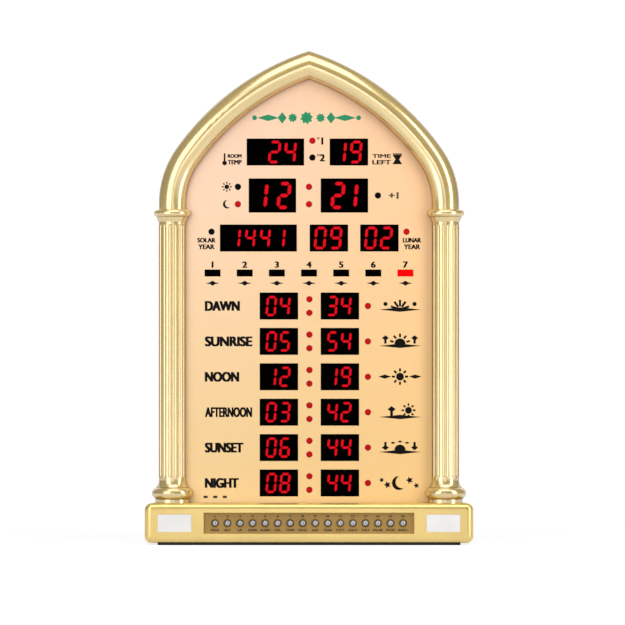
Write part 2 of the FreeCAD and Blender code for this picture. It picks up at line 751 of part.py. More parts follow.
def capital(name, side):
    """The ring and tapered neck at the head of a column."""
    inner = "(moulding_wall - roll_radius)"
    neck_top = f"({SHAFT_TOP} + capital_neck)"
    bead = "(capital_ring / 2)"
    part = half_turned(name, [
        (inner, SHAFT_TOP),
        (inner, CAPITAL_TOP),
        (f"{bead} - capital_radius", CAPITAL_TOP, bead),
        ("-capital_radius", f"{CAPITAL_TOP} - {bead}", bead),
        (f"{bead} - capital_radius", neck_top),
        ("-neck_radius", neck_top),
        ("-neck_foot_radius", SHAFT_TOP),
    ])
    add_column_bosses(part, [CAPITAL_SCREW], "roll_radius - moulding_wall / 2")
    place_beside(part, side)
    return part


def column_base(name, side):
    """The ring, round bead and flare at the foot of a column."""
    inner = "(moulding_wall - roll_radius)"
    ring_top = "(plinth_top + base_ring)"
    bead_top = f"({ring_top} + 2 * base_bead)"
    swell = "(base_bead - base_bead_radius)"
    spread = "(base_flare_radius - roll_radius)"
    flare = f"((base_flare ^ 2 + {spread} ^ 2) / 2 / {spread})"
    part = half_turned(name, [
        (inner, "plinth_top"),
        (inner, SHAFT_FOOT),
        ("-roll_radius", SHAFT_FOOT, f"-{flare}"),
        ("-base_flare_radius", bead_top),
        (swell, bead_top, "base_bead"),
        ("-base_bead_radius", f"{ring_top} + base_bead", "base_bead"),
        (swell, ring_top),
        ("-base_ring_radius", ring_top),
        ("-base_ring_radius", "plinth_top"),
    ])
    add_column_bosses(part, [BASE_SCREW], "roll_radius - moulding_wall / 2")
    place_beside(part, side)
    return part


def column_shaft(name, side):
    """A half-round channel with flutes that end in round scoops."""
    part = body(name)
    section = sketch_on(part, "section", "XY_Plane", SHAFT_FOOT)
    half_round(section, "0", "0", "roll_radius", "(roll_radius - moulding_wall)")
    pad(part, section, f"{SHAFT_TOP} - {SHAFT_FOOT}")
    add_column_bosses(part, COLUMN_SCREWS, "roll_radius - moulding_wall / 2")
    reach = "(roll_radius - flute_depth + flute_radius)"
    first = f"({(FLUTES - 1) / 2} * flute_step)"
    low = f"({SHAFT_FOOT} + flute_end)"
    high = f"({SHAFT_TOP} - flute_end)"
    flute = sketch_on(part, "flute", "XZ_Plane", f"{reach} * cos({first})")
    flute.setExpression("AttachmentOffset.Base.x", bound(f"-{reach} * sin({first})"))
    add_loop(flute, [
        ("0", low, "flute_radius"),
        ("flute_radius", f"{low} + flute_radius"),
        ("flute_radius", f"{high} - flute_radius", "flute_radius"),
        ("0", high),
    ])
    groove = turn(part, flute, "V_Axis", kind="Groove")
    doc.recompute()
    ring = part.newObject("PartDesign::PolarPattern", f"{name}_flutes")
    ring.Originals = [groove]
    ring.Axis = (section, ["N_Axis"])
    ring.Occurrences = FLUTES
    ring.setExpression("Angle", bound(f"{FLUTES - 1} * flute_step"))
    part.Tip = ring
    doc.recompute()
    place_beside(part, side)
    return part


def plinth_moulding():
    """The hollow bar that the columns stand on, with its key window and lens windows."""
    part = body("plinth_moulding")
    outline = front_sketch(part, "outline", PANEL_BACK)
    corner = "plinth_corner"
    add_loop(outline, [
        (f"-{PLINTH_HALF} + {corner}", "floor_gap"),
        (f"{PLINTH_HALF} - {corner}", "floor_gap", corner),
        (PLINTH_HALF, f"floor_gap + {corner}"),
        (PLINTH_HALF, f"plinth_top - {corner}", corner),
        (f"{PLINTH_HALF} - {corner}", "plinth_top"),
        (f"-{PLINTH_HALF} + {corner}", "plinth_top", corner),
        (f"-{PLINTH_HALF}", f"plinth_top - {corner}"),
        (f"-{PLINTH_HALF}", f"floor_gap + {corner}", corner),
    ])
    block = pad(part, outline, f"{PANEL_BACK} - {FRONT}")
    front = value(FRONT)
    soften(part, block, "plinth_edge", lambda point, edge: abs(point.y - front) < TOUCH)
    hollow = front_sketch(part, "hollow", PANEL_BACK)
    add_box(hollow, "0", "(plinth_top + floor_gap) / 2", f"2 * ({PLINTH_HALF} - plinth_end_wall)",
            "plinth_top - floor_gap - 2 * plinth_wall")
    pocket(part, hollow, f"{PANEL_BACK} - {FRONT} - plinth_wall", forward=True)
    bosses = front_sketch(part, "bosses", KEY_BOARD_FRONT)
    add_circles(bosses, KEY_BOARD_SCREWS, "boss_radius")
    pad(part, bosses, f"{KEY_BOARD_FRONT} - {FRONT} - plinth_wall / 2")
    pilots = front_sketch(part, "pilots", KEY_BOARD_FRONT)
    add_circles(pilots, KEY_BOARD_SCREWS, PILOT)
    pocket(part, pilots, "board_screw_length", forward=True)
    lugs = front_sketch(part, "lugs", PANEL_BACK)
    for across, _ in LUG_SCREWS:
        add_box(lugs, across, f"({LUG_SCREW_Z} + plinth_wall / 4)", "lug_width",
                "lug_drop + plinth_wall / 2")
    pad(part, lugs, "lug_length")
    lug_holes = front_sketch(part, "lug_holes", PANEL_BACK)
    add_circles(lug_holes, LUG_SCREWS, PILOT)
    pocket(part, lug_holes, "lug_length", forward=True)
    windows = front_sketch(part, "windows", FRONT)
    add_box(windows, "0", STRIP_MIDDLE, f"2 * {STRIP_HALF}", "strip_height")
    for side in SIDES.values():
        add_box(windows, f"{side} * {LENS_X}", STRIP_MIDDLE, "lens_width", "lens_height")
    pocket(part, windows, "plinth_wall")
    return part


def key_strip():
    """The plate behind the plinth's window that the keys come through."""
    part = body("key_strip")
    plate = front_sketch(part, "plate", STRIP_BACK)
    add_box(plate, "0", STRIP_MIDDLE, f"2 * ({STRIP_HALF} + strip_lap)", "strip_height + 2 * strip_lap")
    pad(part, plate, "strip_thickness")
    holes = front_sketch(part, "holes", STRIP_FRONT)
    add_circles(holes, [(across, STRIP_MIDDLE) for across in KEY_X], "key_radius + running_gap")
    pocket(part, holes, "strip_thickness")
    return part


def lamp_lens(name, side):
    """A white lens that plugs its window from behind and is held by its flange."""
    part = body(name)
    across = f"{side} * {LENS_X}"
    flange = front_sketch(part, "flange", STRIP_BACK)
    add_box(flange, across, STRIP_MIDDLE, "lens_width + 2 * lens_flange", "lens_height + 2 * lens_flange")
    pad(part, flange, "strip_thickness")
    lens = front_sketch(part, "lens", STRIP_FRONT)
    add_box(lens, across, STRIP_MIDDLE, "lens_width - 2 * running_gap", "lens_height - 2 * running_gap")
    pad(part, lens, "plinth_wall - lens_inset")
    return part


def key(number):
    """One domed key: dome, neck through the strip, flange behind it and stem to its switch."""
    part = body(f"key_{number + 1:02d}")
    profile = sketch_on(part, "profile", "XY_Plane")
    dome = "((key_radius ^ 2 + key_proud ^ 2) / 2 / key_proud)"
    shoulder = "(strip_thickness + key_flange_thickness)"
    tip = f"({shoulder} + switch_space + key_entry)"
    add_loop(profile, [
        ("0", "-key_proud", dome),
        ("key_radius", "0"),
        ("key_radius", "strip_thickness"),
        ("key_flange", "strip_thickness"),
        ("key_flange", shoulder),
        ("key_stem", shoulder),
        ("key_stem", tip),
        ("0", tip),
    ])
    turn(part, profile, "V_Axis")
    part.setExpression("Placement.Base.x", bound(KEY_X[number]))
    part.setExpression("Placement.Base.y", bound(STRIP_FRONT))
    part.setExpression("Placement.Base.z", bound(STRIP_MIDDLE))
    return part


def key_switches():
    """The push switches, each with a well that takes the stem of its key."""
    part = body("key_switches")
    cases = front_sketch(part, "cases", KEY_BOARD_FRONT)
    for across in KEY_X:
        add_box(cases, across, STRIP_MIDDLE, "switch_width", "switch_width")
    pad(part, cases, "switch_height")
    wells = front_sketch(part, "wells", SWITCH_FRONT)
    add_circles(wells, [(across, STRIP_MIDDLE) for across in KEY_X], "key_stem + running_gap")
    pocket(part, wells, "2 * key_entry + key_travel")
    return part


def key_board():
    """The long circuit board behind the keys and the lamp lenses."""
    part = body("key_board")
    plate = front_sketch(part, "plate", KEY_BOARD_BACK)
    add_box(plate, "0", STRIP_MIDDLE, f"2 * {KEY_BOARD_HALF}", "key_board_height")
    pad(part, plate, "board_thickness")
    holes = front_sketch(part, "holes", KEY_BOARD_FRONT)
    add_circles(holes, KEY_BOARD_SCREWS, PILOT)
    pocket(part, holes, "board_thickness")
    return part


def lamp_leds():
    """White lamps on the key board, behind the two lenses."""
    part = body("lamp_leds")
    lamps = front_sketch(part, "lamps", KEY_BOARD_FRONT)
    for side in SIDES.values():
        for k in range(LAMPS):
            across = f"{side} * {LENS_X} + {k - (LAMPS - 1) / 2} * lamp_pitch"
            add_box(lamps, across, STRIP_MIDDLE, "lamp_width", "lamp_width")
    pad(part, lamps, "lamp_height")
    return part


def display(name, windows):
    """The black display modules of one reading, behind their windows."""
    part = body(name)
    blocks = front_sketch(part, "blocks", BOARD_FRONT)
    for across, up, width, height, _, _ in windows:
        add_box(blocks, across, up, f"{width} - 2 * window_gap", f"{height} - 2 * window_gap")
    pad(part, blocks, "module_depth")
    return part


def segment_outlines(style):
    """The seven bars of a digit about its middle, each as its corner points."""
    wide, high, bar = [value(text) for text in DIGIT_STYLES[style][:3]]
    gap = bar / value("segment_share")
    lean = math.tan(math.radians(value("segment_slant")))
    half = bar / 2
    right = wide / 2
    top = high / 2 - half

    def across(up):
        """A level bar with pointed ends."""
        reach = right - gap
        return [(-reach, up), (half - reach, up + half), (reach - half, up + half), (reach, up),
                (reach - half, up - half), (half - reach, up - half)]

    def upright(side, low, up):
        """An upright bar with pointed ends."""
        middle = side * right
        return [(middle, low + gap), (middle + half, low + gap + half), (middle + half, up - gap - half),
                (middle, up - gap), (middle - half, up - gap - half), (middle - half, low + gap + half)]

    bars = {
        "a": across(top), "g": across(0), "d": across(-top),
        "f": upright(-1, 0, top), "b": upright(1, 0, top),
        "e": upright(-1, -top, 0), "c": upright(1, -top, 0),
    }
    return {name: [(x + z * lean, z) for x, z in points] for name, points in bars.items()}


def lit_segments():
    """The segments that glow, as thin bars on the fronts of the display modules."""
    front = value(f"{MODULE_FRONT} - segment_proud")
    solids = []
    for windows in DISPLAYS.values():
        for across, up, _, _, reading, style in windows:
            outlines = segment_outlines(style)
            step, shift = [value(text) for text in DIGIT_STYLES[style][3:]]
            for place, digit in enumerate(reading):
                middle = value(across) + shift + (place - (len(reading) - 1) / 2) * step
                if digit == "1" and style == "large":
                    middle -= value("large_digit_width") / 2
                for name in LIT[digit]:
                    points = [Vector(middle + x, front, value(up) + z) for x, z in outlines[name]]
                    face = Part.Face(Part.makePolygon([*points, points[0]]))
                    solids.append(face.extrude(Vector(0, value("segment_proud"), 0)))
    part = doc.addObject("Part::Feature", "lit_segments")
    part.Label = "lit_segments"
    part.Shape = Part.makeCompound(solids)
    return part


def weekday_bars():
    """The seven bar lamps over the weekday slots."""
    part = body("weekday_bars")
    blocks = front_sketch(part, "blocks", BOARD_FRONT)
    for across in BAR_X:
        add_box(blocks, across, WEEKDAY_ROW, "bar_width - 2 * window_gap", "bar_height - 2 * window_gap")
    pad(part, blocks, "module_depth")
    return part


def indicator_leds():
    """The round lamps that come through the face, with soft domes."""
    part = body("indicator_leds")
    lamps = front_sketch(part, "lamps", BOARD_FRONT)
    add_circles(lamps, DOTS, "dot_radius - dot_gap")
    posts = pad(part, lamps, f"{BOARD_FRONT} - {FACE} + dot_proud")
    front = value(f"{FACE} - dot_proud")
    soften(part, posts, "dot_dome", lambda point, edge: abs(point.y - front) < TOUCH)
    return part


def display_board():
    """The circuit board that carries every display module and lamp."""
    part = body("display_board")
    outline = front_sketch(part, "outline", BOARD_BACK)
    low = f"({LOWEST_ROW} - window_height / 2 - board_margin)"
    shoulder = f"({TIME_ROW} + time_height / 2)"
    high = f"({TOP_ROW} + window_height / 2 + board_margin)"
    add_loop(outline, [
        (f"-{BOARD_HALF}", low),
        (BOARD_HALF, low),
        (BOARD_HALF, shoulder),
        ("board_shoulder", high),
        ("-board_shoulder", high),
        (f"-{BOARD_HALF}", shoulder),
    ])
    pad(part, outline, "board_thickness")
    holes = front_sketch(part, "holes", BOARD_FRONT)
    add_circles(holes, BOARD_POSTS, PILOT)
    pocket(part, holes, "board_thickness")
    return part


def board_components():
    """The controller, the driver chips and the temperature sensor, on the back of the board."""
    part = body("board_components")
    chips = front_sketch(part, "chips", f"{BOARD_BACK} + chip_thickness")
    for height in PRAYER_Z[1:5]:
        add_box(chips, "chip_across", height, "chip_width", "chip_height")
    add_box(chips, "0", PRAYER_Z[0], "2 * chip_width", "2 * chip_height")
    pad(part, chips, "chip_thickness")
    probe = front_sketch(part, "probe", f"{BOARD_BACK} + sensor_length")
    add_circle(probe, "sensor_across", PRAYER_Z[4], "sensor_radius")
    pad(part, probe, "sensor_length")
    return part


def screws(name, groups):
    """Screws that share a node. Each group has its places, the seat under the heads, the shank's
    length and the way that the shank points: forward to the front, or back."""
    part = body(name)
    for label, places, seat, length, forward in groups:
        shank_depth = seat if forward else f"({seat} + {length})"
        shanks = front_sketch(part, f"{label}_shanks", shank_depth)
        add_circles(shanks, places, "screw_radius")
        pad(part, shanks, length)
        head_depth = f"({seat} + screw_head)" if forward else seat
        heads = front_sketch(part, f"{label}_heads", head_depth)
        add_circles(heads, places, "screw_head_radius")
        pad(part, heads, "screw_head")
        top = f"({seat} + screw_head)" if forward else f"({seat} - screw_head)"
        sockets = front_sketch(part, f"{label}_sockets", top)
        add_circles(sockets, places, "screw_socket")
        pocket(part, sockets, "screw_head / 2", forward=forward)
    return part


def rubber_feet():
    """The long strips under the plinth and under the rear shell."""
    part = body("rubber_feet")
    strips = sketch_on(part, "strips", "XY_Plane")
    for depth in (f"({FRONT} + foot_edge)", f"({BACK} - foot_edge)"):
        add_box(strips, "0", depth, f"2 * ({PLINTH_HALF} - foot_end)", "foot_width")
    pad(part, strips, "floor_gap")
    return part


def speaker():
    """The round speaker behind the grille: rim, cone basket and magnet."""
    part = body("speaker")
    profile = sketch_on(part, "profile", "XY_Plane")
    add_loop(profile, [
        ("0", "-speaker_depth"),
        ("speaker_magnet_radius", "-speaker_depth"),
        ("speaker_magnet_radius", "-speaker_cone"),
        ("speaker_radius", "-speaker_rim"),
        ("speaker_radius", "0"),
        ("speaker_radius - speaker_rim", "0"),
        ("speaker_magnet_radius / 2", "-speaker_cone"),
        ("0", "-speaker_cone"),
    ])
    turn(part, profile, "V_Axis")
    part.setExpression("Placement.Base.y", bound(SHELL_INNER))
    part.setExpression("Placement.Base.z", bound(SPEAKER_Z))
    return part


def dc_jack():
    """The power inlet: a block behind the foot's side wall, with its nose through the wall."""
    part = body("dc_jack")
    block = sketch_on(part, "block", "YZ_Plane", f"{JACK_WALL} - jack_length")
    add_box(block, "jack_back", JACK_Z, "jack_width", "jack_height")
    pad(part, block, "jack_length")
    nose = sketch_on(part, "nose", "YZ_Plane", JACK_WALL)
    add_circle(nose, "jack_back", JACK_Z, "jack_nose_radius")
    pad(part, nose, "shell_wall")
    bore = sketch_on(part, "bore", "YZ_Plane", f"{JACK_WALL} + shell_wall")
    add_circle(bore, "jack_back", JACK_Z, "jack_bore")
    pocket(part, bore, "jack_depth")
    pin = sketch_on(part, "pin", "YZ_Plane", f"{JACK_WALL} + shell_wall - jack_depth")
    add_circle(pin, "jack_back", JACK_Z, "jack_pin")
    pad(part, pin, "jack_depth - jack_pin_inset")
    return part


def battery_tray():
    """The open box that holds the cells, against the inside of the back wall."""
    part = body("battery_tray")
    block = front_sketch(part, "block", SHELL_INNER)
    add_box(block, "bay_across", BAY_Z, f"2 * ({BAY_HALF_X} + tray_wall)", f"2 * ({BAY_HALF_Z} + tray_wall)")
    pad(part, block, f"{SHELL_INNER} - {TRAY_FLOOR} + tray_wall")
    hollow = front_sketch(part, "hollow", SHELL_INNER)
    add_box(hollow, "bay_across", BAY_Z, f"2 * {BAY_HALF_X}", f"2 * {BAY_HALF_Z}")
    pocket(part, hollow, f"{SHELL_INNER} - {TRAY_FLOOR}", forward=True)
    return part


def backup_cells():
    """Two cells side by side."""
    part = body("backup_cells")
    cells = sketch_on(part, "cells", "YZ_Plane", "bay_across - cell_length / 2")
    for side in SIDES.values():
        add_circle(cells, CELL_Y, f"{BAY_Z} + {side} * (cell_radius + cell_gap / 2)", "cell_radius")
    pad(part, cells, "cell_length")
    return part


def battery_contacts():
    """The sprung and plain contacts at the ends of the cells, as plain plugs."""
    part = body("battery_contacts")
    for side_name, side in SIDES.items():
        start = f"bay_across - {BAY_HALF_X}" if side < 0 else "bay_across + cell_length / 2"
        plugs = sketch_on(part, f"{side_name}_plugs", "YZ_Plane", start)
        for level in SIDES.values():
            add_circle(plugs, CELL_Y, f"{BAY_Z} + {level} * (cell_radius + cell_gap / 2)", "contact_radius")
        pad(part, plugs, "contact_length")
    return part


def battery_door():
    """The lid of the battery bay, with a rounded hinge edge at its top and two stub pins."""
    part = body("battery_door")
    half = f"({BAY_HALF_X} + door_lap)"
    plate = sketch_on(part, "plate", "YZ_Plane", f"-{half}")
    thick = "(door_thickness / 2)"
    add_loop(plate, [
        (f"-{thick}", f"{DOOR_BOTTOM} - {HINGE_Z}"),
        (thick, f"{DOOR_BOTTOM} - {HINGE_Z}"),
        (thick, "0", thick),
        ("0", thick, thick),
        (f"-{thick}", "0"),
    ])
    pad(part, plate, f"2 * {half}")
    pins = sketch_on(part, "pins", "YZ_Plane", f"-({half} + hinge_pin_length)")
    add_circle(pins, "0", "0", "hinge_pin")
    pad(part, pins, f"2 * ({half} + hinge_pin_length)")
    thumb = front_sketch(part, "thumb", thick)
    add_box(thumb, "0", f"{DOOR_BOTTOM} - {HINGE_Z} + thumb_height", "thumb_width", "thumb_height")
    pocket(part, thumb, "thumb_depth", forward=True)
    part.setExpression("Placement.Base.x", bound("bay_across"))
    part.setExpression("Placement.Base.y", bound(HINGE_Y))
    part.setExpression("Placement.Base.z", bound(HINGE_Z))
    return part


def ribbon_cable():
    """The flat cable from the display board down to the key board, with its two plugs."""
    part = body("ribbon_cable")
    upper = f"({LOWEST_ROW} - window_height / 2 + plug_height)"
    run = f"({BOARD_BACK} + plug_depth)"
    strip = sketch_on(part, "strip", "YZ_Plane", "-ribbon_width / 2")
    lower = f"({KEY_BOARD_BACK} + plug_depth)"
    outer = f"({run} + ribbon_thickness)"
    add_loop(strip, [
        (lower, f"{STRIP_MIDDLE} - ribbon_thickness"),
        (outer, f"{STRIP_MIDDLE} - ribbon_thickness"),
        (outer, upper),
        (run, upper),
        (run, STRIP_MIDDLE),
        (lower, STRIP_MIDDLE),
    ])
    pad(part, strip, "ribbon_width")
    upper_plug = front_sketch(part, "upper_plug", run)
    add_box(upper_plug, "0", f"{upper} - plug_height / 2", "ribbon_width + ribbon_slack", "plug_height")
    pad(part, upper_plug, "plug_depth")
    lower_plug = front_sketch(part, "lower_plug", lower)
    add_box(lower_plug, "0", STRIP_MIDDLE, "ribbon_width + ribbon_slack", "plug_height")
    pad(part, lower_plug, "plug_depth")
    return part


def build():
    """Makes every sub-part and returns them."""
    parts = [rear_shell(), face_panel(), arch_moulding(), plinth_moulding(), key_strip()]
    for side_name, side in SIDES.items():
        parts.append(capital(f"{side_name}_capital", side))
        parts.append(column_shaft(f"{side_name}_column", side))
        parts.append(column_base(f"{side_name}_column_base", side))
        parts.append(lamp_lens(f"{side_name}_lamp_lens", side))
    parts += [key(number) for number in range(KEYS)]
    parts += [key_switches(), key_board(), lamp_leds()]
    parts += [display(name, windows) for name, windows in DISPLAYS.items()]
    parts += [lit_segments(), weekday_bars(), indicator_leds(), display_board()]
    parts += [board_components(), ribbon_cable()]
    parts.append(screws("case_screws", [("case", CASE_SCREWS, SCREW_SEAT, "screw_length", True)]))
    parts.append(screws("board_screws", [
        ("display", BOARD_POSTS, BOARD_FRONT, "board_screw_length", False),
        ("key", KEY_BOARD_SCREWS, KEY_BOARD_BACK, "board_screw_length", True),
    ]))
    parts += [rubber_feet(), speaker(), dc_jack()]
    parts += [battery_tray(), backup_cells(), battery_contacts(), battery_door()]
    return parts


def check(parts):
    """Stops if any object failed or any sub-part has no sound shape."""
    for item in doc.Objects:
        if "Invalid" in item.State or "Error" in item.State:
            raise RuntimeError(f"{item.Name} failed: {item.State}")
    for part in parts:
        if part.Shape.isNull() or not part.Shape.isValid():
            raise RuntimeError(f"{part.Label} has no sound shape")


parts = build()
doc.recompute()
check(parts)
os.makedirs("parts", exist_ok=True)
for part in parts:
    part.Shape.exportStep(f"parts/{part.Label}.step")
print(len(parts), "sub-parts written")
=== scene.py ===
"""An arch-topped clock of daily times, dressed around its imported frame. Lengths are in metres."""

import logging
import math
from dataclasses import dataclass, replace
from enum import Enum
from typing import Sequence

import bmesh
import bpy
from mathutils import Matrix, Vector


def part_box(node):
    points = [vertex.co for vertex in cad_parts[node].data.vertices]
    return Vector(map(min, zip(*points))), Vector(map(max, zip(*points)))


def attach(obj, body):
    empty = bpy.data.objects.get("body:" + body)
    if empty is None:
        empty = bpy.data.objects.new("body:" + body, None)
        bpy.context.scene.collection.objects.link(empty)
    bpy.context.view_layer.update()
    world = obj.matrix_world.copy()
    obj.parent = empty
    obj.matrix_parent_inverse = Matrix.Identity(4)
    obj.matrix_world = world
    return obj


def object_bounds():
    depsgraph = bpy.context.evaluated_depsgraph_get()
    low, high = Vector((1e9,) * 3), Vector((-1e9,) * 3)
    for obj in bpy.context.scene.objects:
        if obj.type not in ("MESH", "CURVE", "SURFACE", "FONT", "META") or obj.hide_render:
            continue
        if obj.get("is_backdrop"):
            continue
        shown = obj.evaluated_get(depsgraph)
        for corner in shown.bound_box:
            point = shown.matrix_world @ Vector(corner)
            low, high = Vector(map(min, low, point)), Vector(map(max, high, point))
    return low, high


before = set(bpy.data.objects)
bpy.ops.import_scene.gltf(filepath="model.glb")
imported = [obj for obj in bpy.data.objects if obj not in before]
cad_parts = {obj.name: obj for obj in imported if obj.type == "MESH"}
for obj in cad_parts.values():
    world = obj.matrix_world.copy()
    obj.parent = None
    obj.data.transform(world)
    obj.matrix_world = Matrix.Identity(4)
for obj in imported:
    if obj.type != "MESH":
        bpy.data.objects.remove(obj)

LOG = logging.getLogger("clock")
MM = 0.001
CASE = "case"
DAYS = 7
DAY_BAR_WIDTH = 15.5 * MM
Colour = tuple[float, float, float]


def tone(red: int, green: int, blue: int) -> Colour:
    """The linear colour of a shade given in screen values from 0 to 255."""
    shares = (red / 255, green / 255, blue / 255)
    return tuple(c / 12.92 if c <= 0.04045 else ((c + 0.055) / 1.055) ** 2.4 for c in shares)


def middle(node: str) -> Vector:
    """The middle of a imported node's box."""
    low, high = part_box(node)
    return (low + high) / 2


class Shader:
    """A material's node tree, built one node at a time."""

    def __init__(self, name: str) -> None:
        """Starts an empty tree.

        Args:
            name: The material's name.
        """
        self.material = bpy.data.materials.new(name)
        self.material.use_nodes = True
        self.tree = self.material.node_tree
        self.tree.nodes.clear()
        coordinates = self.tree.nodes.new("ShaderNodeTexCoord")
        self.place = coordinates.outputs["Object"]

    def add(self, kind: str, **settings: object) -> bpy.types.Node:
        """A new node with some of its properties set.

        Args:
            kind: The node's type name.
            settings: Its properties by name.

        Returns:
            The new node.
        """
        made = self.tree.nodes.new(kind)
        for name, setting in settings.items():
            setattr(made, name, setting)
        return made

    def link(self, source: bpy.types.NodeSocket, target: bpy.types.NodeSocket) -> None:
        """Joins two sockets."""
        self.tree.links.new(source, target)

    def noise(self, size: float, stretch: Sequence[float] = (1, 1, 1),
              detail: float = 3.0) -> bpy.types.NodeSocket:
        """Soft random spots.

        Args:
            size: How large a spot is.
            stretch: How much longer it is along each axis.
            detail: How many finer layers it has.

        Returns:
            The socket with values about one half.
        """
        mapping = self.add("ShaderNodeMapping")
        mapping.inputs["Scale"].default_value = [1 / share for share in stretch]
        self.link(self.place, mapping.inputs["Vector"])
        texture = self.add("ShaderNodeTexNoise")
        texture.inputs["Scale"].default_value = 1 / size
        texture.inputs["Detail"].default_value = detail
        self.link(mapping.outputs["Vector"], texture.inputs["Vector"])
        return texture.outputs["Fac"]

    def span(self, value: bpy.types.NodeSocket, low: float, high: float,
             start: float = 0.0, stop: float = 1.0) -> bpy.types.NodeSocket:
        """Carries values from one range to another, smoothly held at its ends.

        Args:
            value: The socket to carry over.
            low: Where the first range starts.
            high: Where it stops.
            start: What low becomes.
            stop: What high becomes.

        Returns:
            The socket with the new values.
        """
        mapped = self.add("ShaderNodeMapRange", interpolation_type="SMOOTHSTEP")
        mapped.inputs["From Min"].default_value = low
        mapped.inputs["From Max"].default_value = high
        mapped.inputs["To Min"].default_value = start
        mapped.inputs["To Max"].default_value = stop
        self.link(value, mapped.inputs["Value"])
        return mapped.outputs["Result"]

    def mix(self, share: bpy.types.NodeSocket, first: object, second: object) -> bpy.types.NodeSocket:
        """Blends two colours, each a colour or a socket, by a share.

        Args:
            share: How much of the second there is.
            first: The colour or socket at nought.
            second: The colour or socket at one.

        Returns:
            The socket with the blend.
        """
        blend = self.add("ShaderNodeMix", data_type="RGBA")
        self.link(share, blend.inputs[0])
        for socket, colour in ((blend.inputs[6], first), (blend.inputs[7], second)):
            if isinstance(colour, bpy.types.NodeSocket):
                self.link(colour, socket)
            else:
                socket.default_value = (*colour, 1)
        return blend.outputs[2]

    def math(self, operation: str, *values: object) -> bpy.types.NodeSocket:
        """One sum of sockets and numbers.

        Args:
            operation: The sum's type name.
            values: What goes into it, in order.

        Returns:
            The socket with the result.
        """
        made = self.add("ShaderNodeMath", operation=operation)
        for socket, value in zip(made.inputs, values):
            if isinstance(value, bpy.types.NodeSocket):
                self.link(value, socket)
            else:
                socket.default_value = value
        return made.outputs[0]

    def axes(self) -> Sequence[bpy.types.NodeSocket]:
        """The place on the object as three separate numbers.

        Returns:
            The sockets across, back and up.
        """
        split = self.add("ShaderNodeSeparateXYZ")
        self.link(self.place, split.inputs[0])
        return split.outputs

    def surface(self, **sockets: object) -> bpy.types.Material:
        """Closes the tree with its surface shader.

        Args:
            sockets: Values or sockets by the shader's input names, with spaces as underscores.

        Returns:
            The finished material.
        """
        shader = self.add("ShaderNodeBsdfPrincipled")
        for name, value in sockets.items():
            socket = shader.inputs[name.replace("_", " ")]
            if isinstance(value, bpy.types.NodeSocket):
                self.link(value, socket)
            elif isinstance(value, tuple):
                socket.default_value = (*value, 1)
            else:
                socket.default_value = value
        output = self.add("ShaderNodeOutputMaterial")
        self.link(shader.outputs[0], output.inputs["Surface"])
        return self.material

    def relief(self, height: bpy.types.NodeSocket, depth: float) -> bpy.types.NodeSocket:
        """Turns a height into a bumped normal of that depth.

        Args:
            height: The socket with the height.
            depth: How deep a height of one is.

        Returns:
            The socket with the normal.
        """
        bump = self.add("ShaderNodeBump")
        bump.inputs["Distance"].default_value = depth
        bump.inputs["Strength"].default_value = 0.6
        self.link(height, bump.inputs["Height"])
        return bump.outputs["Normal"]


@dataclass(frozen=True)
class Finish:
    """A finish with fine grain, slightly uneven colour and slightly uneven gloss."""

    name: str
    colour: Colour
    metal: float = 0.0
    gloss: tuple[float, float] = (0.40, 0.52)
    shine: float = 0.5
    coat: float = 0.0
    coat_blur: float = 0.2
    coat_index: float = 1.5
    grain: float = 0.4 * MM
    stretch: tuple[float, float, float] = (1, 1, 1)
    relief: float = 0.01 * MM
    cloud: float = 40 * MM
    shade: float = 0.10

    def colours(self, shader: Shader) -> bpy.types.NodeSocket:
        """The base colour, clouded between a darker and the full shade."""
        dark = tuple(c * (1 - self.shade) for c in self.colour)
        return shader.mix(shader.span(shader.noise(self.cloud), 0.35, 0.65), dark, self.colour)

    def glow(self, shader: Shader) -> dict[str, object]:
        """The sockets that make the finish give light: none here."""
        return {}

    def lacquer(self, shader: Shader) -> object:
        """How much clear coat it has."""
        return self.coat

    def material(self) -> bpy.types.Material:
        """Builds the finish as a material.

        Returns:
            The finished material.
        """
        shader = Shader(self.name)
        grain = shader.noise(self.grain, self.stretch)
        return shader.surface(
            Base_Color=self.colours(shader),
            Metallic=self.metal,
            Roughness=shader.span(grain, 0.3, 0.7, *self.gloss),
            Specular_IOR_Level=self.shine,
            Coat_Weight=self.lacquer(shader),
            Coat_Roughness=self.coat_blur,
            Coat_IOR=self.coat_index,
            Normal=shader.relief(grain, self.relief),
            **self.glow(shader),
        )


@dataclass(frozen=True)
class PlatedMoulding(Finish):
    """Pale gold plate under clear lacquer, with painted shade where a moulding meets the sheet."""

    # The colour of the painted shade at the back edge, where the moulding meets the sheet.
    deep: Colour = (0.0, 0.0, 0.0)
    start: float = 0.0
    stop: float = 0.0

    def colours(self, shader: Shader) -> bpy.types.NodeSocket:
        """The plate's colour, blended towards a painted shade at the back edge."""
        return shader.mix(self.depth(shader), super().colours(shader), self.deep)

    def depth(self, shader: Shader) -> bpy.types.NodeSocket:
        """The share of painted shade: nought over the front and one at the back edge."""
        _, y, _ = shader.axes()
        return shader.span(y, self.start, self.stop)

    def lacquer(self, shader: Shader) -> bpy.types.NodeSocket:
        """Full lacquer over the front, and little of it at the back edge, which dims the reflections there
        as painted shade.
        """
        _, y, _ = shader.axes()
        return shader.span(y, self.start, self.stop, self.coat, 0.15 * self.coat)


